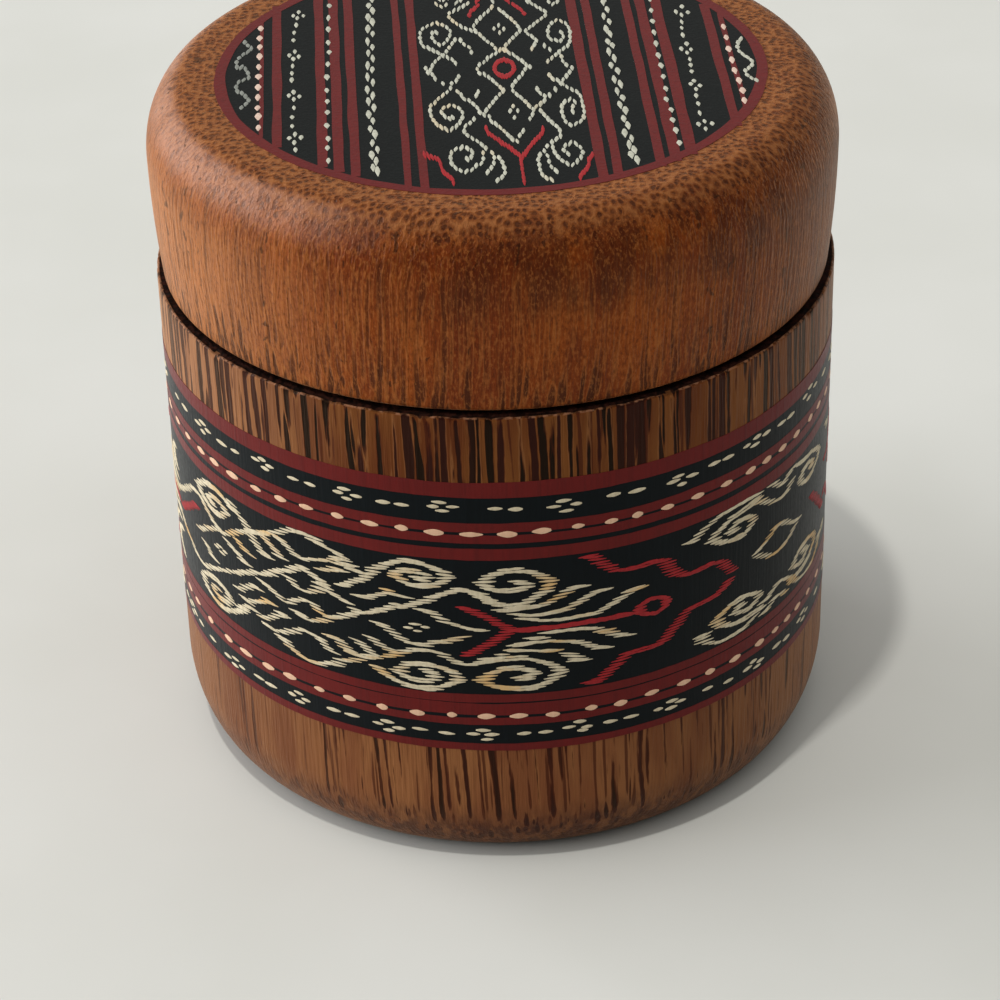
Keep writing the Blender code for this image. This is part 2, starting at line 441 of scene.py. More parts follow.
def streaked_wood():
    """The base: amber palm wood with near-black bundles, which show as long sharp streaks."""
    wood = Recipe("streaked_palm_wood")
    facing = wood.facing_up()
    right, _, height = wood.split(wood.here)
    rising = wood.spread(height, FOOT_RISE, RIM - 12.0)
    falling = wood.spread(height, RIM - 12.0, FOOT_RISE)
    patch = wood.spread(wood.cloud((0.26, 0.26, 0.05)), 0.38, 0.62)
    plain = wood.mix(patch, linear(119, 70, 33), linear(98, 49, 22))
    foot_plain = wood.mix(patch, linear(144, 93, 57), linear(126, 75, 46))
    colour = wood.mix(rising, foot_plain, plain)
    # Painted light: paler on the left, above the foot
    painted_light_left = wood.spread(right, -14.0, -38.0, 0.0, 0.55)
    colour = wood.over(colour, linear(188, 134, 96), painted_light_left, rising)
    colour = wood.over(colour, linear(88, 42, 20), wood.hairs(2.2, 6.0, 0.45, 0.75), 0.30)
    colour = wood.over(colour, linear(150, 100, 58), wood.hairs(4.0, 16.0, 0.60, 0.74), 0.22)

    # Thin bundles
    thin, thin_random = wood.bundles(0.62, 1.0, 31.0, BASE_LEAN)
    thin_size = wood.spread(wood.part(thin_random, 0), 0.2, 1.0, 0.0, 0.40)
    thin_mask = wood.times(wood.minus(thin_size, thin), 9.0, clamp=True)
    thin_low = wood.spread(height, 2.0, 8.0, 0.15, 0.8)
    # Painted light: the thin bundles fade on the left
    thin_faded_by_light = wood.spread(right, -14.0, -34.0, 1.0, 0.45)
    colour = wood.over(colour, linear(66, 22, 12), thin_mask, thin_low, thin_faded_by_light)

    # Thick bundles: a pale sheath round some, a brown edge and a dark core
    far, chance = wood.bundles(1.05, 1.35, 7.0, BASE_LEAN, randomness=0.78)
    size = wood.spread(wood.part(chance, 0), 0.0, 1.0, 0.12, 0.48)
    size = wood.plus(size, wood.spread(height, FOOT_RISE, RIM - 4.0, -0.16, 0.05))
    depth = wood.minus(size, far)
    foot = wood.spread(height, 0.8, 4.2, 0.20, 1.0)
    pale = wood.times(wood.plus(depth, 0.13), 12.0, clamp=True)
    pale_share = wood.spread(wood.part(chance, 2), 0.45, 0.65, 0.0, 0.5)
    colour = wood.over(colour, linear(150, 100, 60), pale, pale_share, foot)
    edge = wood.times(wood.plus(depth, 0.05), 16.0, clamp=True)
    colour = wood.over(colour, linear(62, 17, 9), edge, foot, 0.9)
    core = wood.times(depth, wood.spread(height, FOOT_RISE, RIM - 10.0, 8.0, 16.0), clamp=True)
    tone = wood.mix(wood.spread(wood.part(chance, 1), 0.35, 0.75), linear(10, 5, 4), linear(42, 11, 11))
    solid = wood.spread(height, FOOT_RISE, RIM - 10.0, 0.80, 0.98)
    # Painted light: the dark cores fade towards the left
    solid = wood.times(solid, foot, wood.spread(right, -20.0, -38.0, 1.0, 0.72))
    colour = wood.over(colour, tone, core, solid)

    # Painted shade: patchy low on the foot, on the underside and low on both sides. Dark end grain that faces
    # up
    low = wood.spread(height, 9.2, 3.4, 0.0, 0.85)
    low_shade_patches = wood.spread(wood.cloud((0.9, 0.9, 0.5), detail=3.0), 0.40, 0.58, 0.40, 1.0)
    colour = wood.over(colour, linear(54, 27, 27), low, low_shade_patches)
    # Painted shade where the surface faces down
    shade_underneath = wood.spread(facing, -0.2, -0.9)
    colour = wood.over(colour, linear(40, 21, 19), shade_underneath, 0.60)
    # Painted shade low on the left
    shade_low_left = wood.spread(right, -12.0, -34.0, 0.0, 0.48)
    colour = wood.over(colour, linear(86, 49, 35), shade_low_left, falling)
    # Painted shade low on the right
    painted_shade_right = wood.spread(right, 8.0, 24.0, 0.0, 0.26)
    colour = wood.over(colour, linear(52, 27, 18), painted_shade_right, falling)
    end_grain = wood.spread(facing, 0.3, 0.9)
    colour = wood.over(colour, linear(40, 22, 13), end_grain, 0.6)

    # Pale wood where the rim's arris has worn, with a painted highlight along it
    flat = wood.vector("MULTIPLY", wood.here, (1, 1, 0))
    radius = wood.add("ShaderNodeVectorMath", {0: flat}, operation="LENGTH").outputs["Value"]
    arris = wood.spread(radius, BODY_RADIUS - 0.40, BODY_RADIUS - 0.15)
    arris_height = wood.spread(height, RIM - 0.26, RIM - 0.10)
    worn_and_glints = wood.spread(wood.cloud((1.3, 1.3, 1.3), detail=4.0), 0.44, 0.58, 0.0, 0.62)
    colour = wood.over(colour, linear(160, 112, 84), arris, arris_height, worn_and_glints)
    relief = wood.minus(wood.hairs(2.6, 8.0, 0.3, 0.7), wood.times(core, 0.4))
    return finish_wood(wood, colour, relief, gloss=0.07, sheen=0.22)


def ledge_grain_and_shade():
    """The open end grain of the ledge: dark grain, darkened nearly to black with painted shade in the gap
    under the lid.
    """
    wood = Recipe("dark_end_grain_and_shade")
    grain = wood.cloud((1.6, 1.6, 1.6), detail=3.0)
    wood.set(Base_Color=wood.mix(wood.spread(grain, 0.4, 0.65), linear(16, 7, 5), linear(48, 24, 17)))
    wood.set(Roughness=wood.spread(grain, 0.3, 0.7, 0.55, 0.75))
    wood.set(Normal=wood.bump(grain, 0.2, 0.8))
    wood.fix("Specular IOR Level", 0.05)
    return wood.material


def reddish_wood():
    """The lid: finer wood of one tone. Its bundles are dark dots on the top and wavy fibres on the side."""
    wood = Recipe("reddish_palm_wood")
    facing = wood.facing_up()
    right, _, height = wood.split(wood.here)
    level = wood.spread(wood.math("ABSOLUTE", facing), 0.3, 0.9)
    side = wood.spread(facing, 0.95, 0.60, 0.12, 1.0)
    patch = wood.spread(wood.cloud((0.16, 0.16, 0.06), detail=3.0), 0.35, 0.65)
    colour = wood.mix(patch, linear(144, 67, 17), linear(118, 47, 11))
    colour = wood.over(colour, linear(119, 66, 31), wood.spread(level, 0.2, 1.0, 0.0, 0.85))
    stain_and_shade_cloud = wood.cloud((0.36, 0.36, 0.08))
    colour = wood.over(colour, linear(92, 30, 10), wood.spread(stain_and_shade_cloud, 0.54, 0.70, 0.0, 0.5))
    # Painted light: the side is paler on the left, less so up on the shoulder
    painted_light_left = wood.spread(right, -13.0, -38.0, 0.0, 0.54)
    belly = wood.spread(height, LID_BELLY + 4.0, LID_BELLY - 2.0, 0.45, 1.0)
    colour = wood.over(colour, linear(204, 138, 88), painted_light_left, side, belly)
    # Painted shade: the side is darker on the right
    painted_shade_right = wood.spread(right, 18.0, 38.0, 0.0, 0.60)
    colour = wood.over(colour, linear(58, 24, 9), painted_shade_right, side)
    dark_hairs = wood.hairs(3.0, 3.2, 0.45, 0.72)
    colour = wood.over(colour, linear(82, 32, 12), dark_hairs, 0.35)

    # Light tissue between fine bundles
    fine, fine_random = wood.bundles(0.50, 1.5, 9.0, LID_LEAN, rise=0.15, randomness=0.95)
    fine_size = wood.spread(wood.part(fine_random, 0), 0.0, 1.0, 0.30, 0.52)
    gap = wood.times(wood.minus(fine, fine_size), 5.0, clamp=True)
    thready = wood.cloud((0.30, 0.30, 0.10))
    light_share = wood.spread(wood.part(fine_random, 1), 0.3, 0.9, 0.04, 0.42)
    light_share = wood.times(light_share, wood.spread(thready, 0.44, 0.60, 0.30, 1.0))
    colour = wood.over(colour, linear(164, 94, 38), gap, light_share)

    # Dark bundles, their pale rims and the tissue between them on the top
    fallen = wood.math("MAXIMUM", wood.minus(LID_BELLY, height), 0.0)
    hurry = wood.times(fallen, fallen, 0.011)
    far, chance = wood.bundles(0.86, 1.5, 3.0, LID_LEAN, rise=0.14, randomness=0.78, hurry=hurry)
    size = wood.spread(wood.part(chance, 0), 0.0, 1.0, 0.26, 0.42)
    size = wood.plus(size, wood.spread(height, LID_BOTTOM + 7.0, LID_BOTTOM + 1.0, 0.0, 0.07))
    depth = wood.minus(size, far)
    mask = wood.times(depth, 7.0, clamp=True)
    low = wood.spread(height, LID_BOTTOM + 9.0, LID_BOTTOM + 1.0, 0.0, 0.70)
    share = wood.plus(wood.spread(wood.part(chance, 1), 0.3, 0.9, 0.02, 0.50), low)
    share = wood.plus(share, wood.spread(level, 0.0, 0.6, 0.0, 0.6), clamp=True)
    colour = wood.over(colour, linear(58, 21, 8), mask, wood.math("MINIMUM", share, 0.86))
    rim = wood.times(wood.plus(depth, 0.10), 14.0, clamp=True)
    rim_share = wood.spread(level, 0.0, 0.6, 0.30, 0.0)
    colour = wood.over(colour, linear(180, 112, 56), rim, wood.minus(1.0, mask), rim_share)
    tissue = wood.times(wood.minus(-0.05, depth), 4.0, clamp=True)
    colour = wood.over(colour, linear(168, 108, 62), tissue, wood.spread(level, 0.0, 1.0, 0.0, 0.50))

    # Painted shade on the shoulder, patchy and fading towards the left, and a painted highlight on the
    # shoulder's left
    colour = wood.over(
        colour, linear(66, 23, 9),
        wood.spread(height, LID_BELLY - 5.0, LID_BELLY), wood.spread(height, LID_TOP, LID_TOP - 3.0),
        wood.spread(stain_and_shade_cloud, 0.38, 0.60, 0.25, 0.72), wood.spread(right, 4.0, -24.0, 1.0, 0.15),
    )
    # Painted highlight on the left of the shoulder
    colour = wood.over(
        colour, linear(196, 150, 132),
        wood.spread(facing, 0.25, 0.60), wood.spread(facing, 0.97, 0.80),
        wood.spread(right, -8.0, -28.0, 0.0, 0.46), wood.spread(thready, 0.35, 0.60, 0.6, 1.0),
    )

    # Speckle and open pits
    speckle = wood.cloud((3.6, 3.6, 1.5), detail=3.0, roughness=0.65)
    colour = wood.over(colour, linear(66, 24, 8), wood.spread(speckle, 0.51, 0.66, 0.0, 0.50), side)
    colour = wood.over(colour, linear(176, 108, 54), wood.spread(speckle, 0.48, 0.36, 0.0, 0.34), side)
    pit, pit_random = wood.bundles(2.3, 3.0, 17.0, LID_LEAN, rise=0.45)
    pit_size = wood.spread(wood.part(pit_random, 0), 0.3, 1.0, 0.0, 0.15)
    pit_mask = wood.times(wood.minus(pit_size, pit), 20.0, clamp=True)
    colour = wood.over(colour, linear(36, 14, 8), pit_mask, 0.7)
    relief = wood.plus(gap, wood.times(mask, -0.8))
    relief = wood.minus(relief, wood.times(dark_hairs, 0.5))
    relief = wood.minus(relief, wood.times(speckle, 1.2))
    return finish_wood(wood, colour, relief, gloss=0.12, sheen=0.26)


def paint(name, colour, thin, roughness, tint=None, gloss=0.15, sheen=0.1):
    """Satin paint, through which the wood's upright grain shows as faint streaks."""
    coat = Recipe(name)
    grain = coat.hairs(2.2, 10.0, 0.35, 0.8)
    cloud = coat.cloud((0.5, 0.5, 0.35))
    base = colour
    if tint is not None:
        dab = coat.add("ShaderNodeAttribute", attribute_name=TINT).outputs["Fac"]
        base = coat.mix(dab, colour, tint)
    shaded = coat.over(base, thin, grain, 0.6)
    shaded = coat.over(shaded, thin, coat.spread(cloud, 0.3, 0.7, 0.0, 0.3))
    coat.set(Base_Color=shaded)
    speck = coat.cloud((5.0, 5.0, 1.5))
    coat.set(Roughness=coat.spread(speck, 0.2, 0.8, roughness - 0.08, roughness + 0.1))
    coat.set(Normal=coat.bump(coat.plus(grain, coat.times(speck, 0.5)), PAINT_RELIEF, 0.7))
    coat.fix("Specular IOR Level", gloss)
    coat.fix("Sheen Weight", sheen)
    coat.fix("Sheen Roughness", 0.4)
    return coat.material


# Paint laid on the two surfaces


def on_wall(degrees, below, lift):
    angle = math.radians(degrees)
    radius = BODY_RADIUS + lift
    return radius * math.sin(angle), -radius * math.cos(angle), RIM - below


def on_lid(right, back, lift):
    return right, back, LID_TOP + lift


def wobble(seed, place, reach):
    """A slow unevenness of a painted edge, mostly between -1 and 1."""
    return noise.noise(Vector((place[0] / reach, place[1] / reach, seed * 7.3))) * 1.6


def section(surface, first, second, lift):
    """The four corners of a painted strip where it is cut across, from one edge to the other."""
    return [
        surface(*first, PAINT_ROOT), surface(*first, lift),
        surface(*second, lift), surface(*second, PAINT_ROOT),
    ]


def ring_faces(first):
    """Faces of a closed ring of sections, whose points start at the first."""
    faces = []
    for step in range(AROUND):
        here, there = first + 4 * step, first + 4 * ((step + 1) % AROUND)
        for corner in range(4):
            beside = (corner + 1) % 4
            faces.append((here + corner, here + beside, there + beside, there + corner))
    return faces


def wall_stripe(edges, lift, seed, vertices, faces):
    """A closed ring of paint between two depths below the rim, with hand-painted edges."""
    first = len(vertices)
    for step in range(AROUND):
        degrees = 360 * step / AROUND
        spot = on_wall(degrees, 0, 0)
        upper, lower = [
            edge + STRIPE_WOBBLE * (wobble(seed + side, spot, 9.0) + 0.4 * wobble(seed + side + 3, spot, 1.6))
            for side, edge in enumerate(edges)
        ]
        vertices += section(on_wall, (degrees, upper), (degrees, lower), lift)
    faces += ring_faces(first)


def disc_stripe(edges, lift, radius, seed, vertices, faces):
    """A closed strip of paint across the lid's disc, leaning with the rest and ending on a circle."""
    middle = abs(edges[0] + edges[1]) / 2
    reach = math.sqrt(radius * radius - middle * middle)
    steps = max(12, int(reach * 2))
    first = len(vertices)
    for step in range(steps + 1):
        back = -reach + 2 * reach * step / steps
        slant = -DISC_LEAN * back
        sides = [
            edge + slant + STRIPE_WOBBLE * wobble(seed + side, (edge, back), 6.0)
            for side, edge in enumerate(edges)
        ]
        vertices += section(on_lid, (sides[0], back), (sides[1], back), lift)
    for step in range(steps):
        here, there = first + 4 * step, first + 4 * (step + 1)
        for corner in range(4):
            beside = (corner + 1) % 4
            faces.append((here + corner, there + corner, there + beside, here + beside))
    final = first + 4 * steps
    faces += [(first, first + 1, first + 2, first + 3), (final + 3, final + 2, final + 1, final)]


def disc_ring(inner, outer, lift, seed, vertices, faces):
    """A closed ring of paint round the lid's disc; with no inner radius it is a full disc."""
    first = len(vertices)
    for step in range(AROUND):
        angle = math.tau * step / AROUND
        heading = (math.sin(angle), -math.cos(angle))
        spot = (heading[0] * outer, heading[1] * outer)
        far = outer + STRIPE_WOBBLE * (wobble(seed, spot, 7.0) + 0.5 * wobble(seed + 2, spot, 1.5))
        near = inner + STRIPE_WOBBLE * 1.5 * wobble(seed + 5, spot, 5.0) if inner else 0
        near_edge = (heading[0] * near, heading[1] * near)
        far_edge = (heading[0] * far, heading[1] * far)
        vertices += section(on_lid, near_edge, far_edge, lift)
    faces += ring_faces(first)


class Dabs:
    """Raised, pointed dabs of paint gathered in one mesh. Along and across are mm on the surface."""

    STATIONS = 7
    SHOULDER = 0.86

    def __init__(self, seed):
        self.vertices = []
        self.faces = []
        self.tints = []
        self.chance = random.Random(seed)

    def add(self, place, length, width, lean=0.0, tint=None, taper=POINTED, plump=0.0):
        """One dab. place(along, across, lift) gives a point, and lean is across per along.

        A low taper is pointed, and a plump dab is thicker towards its far end.
        """
        chance = self.chance
        length *= chance.uniform(0.8, 1.2)
        width *= chance.uniform(0.84, 1.16)
        lean += chance.uniform(-0.05, 0.05)
        plump += chance.uniform(-0.25, 0.25)
        if tint is None:
            patch = noise.noise(Vector(place(0, 0, 0)) * 0.26) * 3.0 - 0.45
            tint = max(0, min(1, patch + chance.uniform(-0.25, 0.25)))
        first = len(self.vertices)
        half = length / 2
        self.vertices.append(place(-half, -half * lean, PAINT_ROOT))
        for station in range(1, self.STATIONS + 1):
            share = 2 * station / (self.STATIONS + 1) - 1
            body = (1 - abs(share) ** taper) * (1 + plump * share)
            spread = width / 2 * body
            along, across = share * half, share * half * lean
            self.vertices += [
                place(along, across - spread, PAINT_ROOT),
                place(along, across - spread * self.SHOULDER, DAB_LIFT),
                place(along, across, DAB_LIFT + DAB_DOME * body),
                place(along, across + spread * self.SHOULDER, DAB_LIFT),
                place(along, across + spread, PAINT_ROOT),
            ]
        self.vertices.append(place(half, half * lean, PAINT_ROOT))
        last = len(self.vertices) - 1
        self.tints += [tint] * (last - first + 1)
        for corner in range(5):
            beside = (corner + 1) % 5
            self.faces.append((first, first + 1 + beside, first + 1 + corner))
            for station in range(self.STATIONS - 1):
                here = first + 1 + 5 * station
                there = here + 5
                self.faces.append((here + corner, here + beside, there + beside, there + corner))
            final = first + 1 + 5 * (self.STATIONS - 1)
            self.faces.append((final + corner, final + beside, last))

    def make(self, name, material, body, slot):
        made = piece(name, self.vertices, self.faces, material, body, slot, sharp=50)
        attribute = made.data.attributes.new(TINT, "FLOAT", "POINT")
        attribute.data.foreach_set("value", self.tints)


class Brush:
    """How a line of dabs is painted.

    The length and width are a dab's, in mm. The step is how far apart the dabs go, in mm sideways and in mm
    up the wall or back over the lid. On the wall a level line has two rows of dabs, broad mm apart, and a
    dab follows its path's slope by this share.
    """

    def __init__(self, length, width, step, broad=0.0, follow=0.38):
        self.length = length
        self.width = width
        self.step = step
        self.broad = broad
        self.follow = follow


WALL_SPIRAL = Brush(2.5, 0.39, (1.05, 0.46), broad=0.40, follow=0.25)
WALL_FEATHER = Brush(2.7, 0.33, (1.35, 0.47), broad=0.16)
WALL_SCARLET = Brush(2.5, 0.34, (1.05, 0.40), broad=0.30, follow=0.12)
WALL_STEM = Brush(2.6, 0.48, (1.1, 0.47), broad=0.25)
WALL_EYE = Brush(1.8, 0.5, (0.8, 0.4), broad=0.20)
LID_CREAM = Brush(1.7, 0.50, (0.64, 1.32))
LID_ZIGZAG = Brush(1.6, 0.60, (0.62, 1.2))
LID_FAINT_ZIGZAG = Brush(1.6, 0.56, (0.62, 1.3))
LID_SCARLET_BRUSH = Brush(2.3, 0.44, (0.44, 0.95))
LID_ARM = Brush(1.8, 0.6, (0.64, 1.32))
LID_EYE = Brush(2.0, 0.62, (0.3, 0.8))

# Single dabs, as (length, width) in mm
LOZENGE_DOT = (1.6, 0.36)
WALL_PETAL = (1.85, 0.50)
WALL_DASH = (2.2, 0.54)
LID_DOT = (1.5, 0.45)
LID_PETAL = (1.4, 0.58)
LID_DASH = (1.5, 0.52)

# Rows of dabs on the lid, as (length, width, margin to the disc's ring) in mm
TWISTED_ROW = (2.5, 0.68, 3.0)
DOT_ROW = (1.8, 0.68, 2.6)
PINK_ROW = (2.0, 0.82, 2.6)


def smooth(points, pieces=8):
    """A curve through given points."""
    ends = [points[0]] + list(points) + [points[-1]]
    curve = []
    for before, start, end, after in zip(ends, ends[1:], ends[2:], ends[3:]):
        for step in range(pieces):
            t = step / pieces
            curve.append(tuple(
                0.5 * (
                    2 * start[axis]
                    + (end[axis] - before[axis]) * t
                    + (2 * before[axis] - 5 * start[axis] + 4 * end[axis] - after[axis]) * t * t
                    + (3 * start[axis] - before[axis] - 3 * end[axis] + after[axis]) * t ** 3
                )
                for axis in (0, 1)
            ))
    curve.append(tuple(points[-1]))
    return curve


def oval(centre, radii):
    """Points of a closed oval path."""
    points = []
    for step in range(17):
        angle = math.tau * step / 16
        points.append((centre[0] + radii[0] * math.cos(angle), centre[1] + radii[1] * math.sin(angle)))
    return points


def stations(points, measure):
    """Where dabs go on a curve, with its heading there. They are about one unit of measure(heading) apart."""
    curve = smooth(points)
    legs = []
    for start, end in zip(curve, curve[1:]):
        heading = (end[0] - start[0], end[1] - start[1])
        legs.append((start, heading, measure(heading)))
    total = sum(reach for _, _, reach in legs)
    step = total / max(1, round(total))
    wanted = step / 2
    gone = 0.0
    spots = []
    for start, heading, reach in legs:
        while reach > 0 and gone + reach >= wanted and wanted < total:
            share = (wanted - gone) / reach
            spots.append(((start[0] + heading[0] * share, start[1] + heading[1] * share), heading))
            wanted += step
        gone += reach
    return spots


# Wall ornament, read from the photograph: (degrees from the front, mm below the rim)

PEACH_UPPER = [
    (-77, 15.4, 3.2), (-71, 15.4, 3.2), (-65.5, 15.4, 3.2), (-60, 15.35, 3.2), (-55.5, 15.3, 3.0),
    (-50.2, 15.3, 4.0), (-44.2, 15.25, 3.2), (-38.6, 15.1, 3.0), (-33.3, 14.9, 2.8), (-27.4, 14.8, 2.8),
    (-21.7, 14.85, 3.8), (-16.3, 14.75, 3.0), (-11.0, 14.9, 3.6), (-5.0, 14.95, 3.6), (0.7, 14.95, 3.4),
    (6.2, 14.75, 3.0), (12.1, 14.65, 2.8), (17.6, 14.75, 2.2), (22.1, 14.7, 2.2), (27.5, 14.8, 2.8),
    (33.3, 14.75, 2.8), (39.4, 14.8, 3.3), (45.1, 14.8, 2.8), (49.3, 14.8, 2.8), (54.0, 14.8, 2.8),
    (58.8, 14.7, 2.8), (64.5, 14.7, 2.8), (69.0, 14.7, 2.8),
]
PEACH_LOWER = [
    (-73, 39.9, 2.8), (-68, 39.8, 2.8), (-62, 40.0, 2.8), (-55.5, 40.1, 2.8), (-50.2, 40.15, 3.6),
    (-44.3, 40.1, 3.5), (-39.3, 39.9, 3.2), (-33.0, 40.0, 2.8), (-27.1, 39.9, 2.8), (-21.1, 40.0, 2.2),
    (-15.0, 40.0, 2.8), (-9.1, 39.8, 2.2), (-3.4, 39.85, 2.8), (1.9, 39.85, 3.0), (7.5, 40.0, 3.3),
    (14.0, 39.8, 2.8), (19.1, 40.0, 3.3), (24.8, 39.7, 2.8), (31.0, 39.85, 2.8), (36.5, 39.9, 2.8),
    (42.2, 39.95, 2.8), (48.6, 40.0, 2.8), (53.3, 40.0, 2.8), (57.4, 40.0, 2.6), (61.5, 40.0, 2.6),
    (66.5, 40.0, 2.8),
]
# The dots round the back, in degrees apart and mm
PEACH_PITCH = 5.6
PEACH_LENGTH = 2.2
PEACH_WIDTH = 0.86

# Clusters of four petals: top, left, right, bottom
CLUSTERS_UPPER = [
    [(-77, 11.1), (-78.5, 11.65), (-75.3, 11.65), (-77, 12.2)],
    [(-58.6, 11.1), (-60.3, 11.7), (-56.8, 11.6), (-58.6, 12.3)],
    [(-42.2, 10.8), (-43.7, 11.2), (-40.5, 11.3), (-41.6, 11.85)],
    [(-25.9, 11), (-27, 11.6), (-23.8, 11.6), (-25.5, 12.2)],
    [(-10, 10.9), (-11, 11.5), (-7.8, 11.4), (-9.5, 12)],
    [(9.8, 11.1), (8.2, 11.75), (11.8, 11.7), (10.2, 12.45)],
    [(29.5, 11.2), (28.6, 11.7), (32.2, 11.7), (30.2, 12.4)],
    [(46.5, 10.8), (44, 11.2), (49, 11.1), (46, 11.7)],
    [(64, 10.3), (61.8, 10.8), (66.5, 11), (63.5, 11.6)],
]
DASHES_UPPER = [
    (-70, 11.7), (-66, 11.7), (-52.6, 11.8), (-48.9, 11.7), (-35.6, 11.65), (-32.3, 11.65), (-19.2, 11.7),
    (-16.1, 11.7), (-1.1, 11.55), (2.1, 11.7), (18, 11.35), (22, 11.5), (36.7, 11.35), (39.7, 11.4),
    (53.5, 11.3), (56.4, 11.35), (72, 11.4), (75.5, 11.4),
]
CLUSTERS_LOWER = [
    [(-72, 41.9), (-73.6, 42.5), (-70.3, 42.5), (-71.9, 43.1)],
    [(-53.7, 42.4), (-56.2, 42.9), (-51.8, 42.9), (-54, 43.4)],
    [(-37.5, 41.8), (-39, 42.4), (-36, 42.4), (-37.3, 43)],
    [(-20.3, 42), (-22, 42.5), (-18.3, 42.65), (-20.1, 43.2)],
    [(-4, 41.85), (-5.7, 42.4), (-2.6, 42.45), (-3.4, 43.15)],
    [(12, 41.5), (10.2, 42.1), (13.2, 42.4), (12.5, 42.8)],
    [(28.7, 41.85), (26, 42.4), (30.3, 42.3), (28.5, 42.8)],
    [(47, 42.1), (45.5, 42.6), (49, 42.7), (48, 43.2)],
    [(64, 41.9), (62.3, 42.4), (65.9, 42.4), (64.2, 43)],
]
DASHES_LOWER = [
    (-67, 42.6), (-61.8, 42.7), (-47, 42.6), (-44, 42.7), (-30.3, 42.3), (-26.8, 42.3), (-14.6, 42.3),
    (-10.1, 42.5), (2.7, 42.4), (6.3, 42.4), (17.3, 42.3), (21, 42.3), (36, 42.2), (40.7, 42.65),
    (54, 42.5), (57.3, 42.8), (72, 42.4),
]

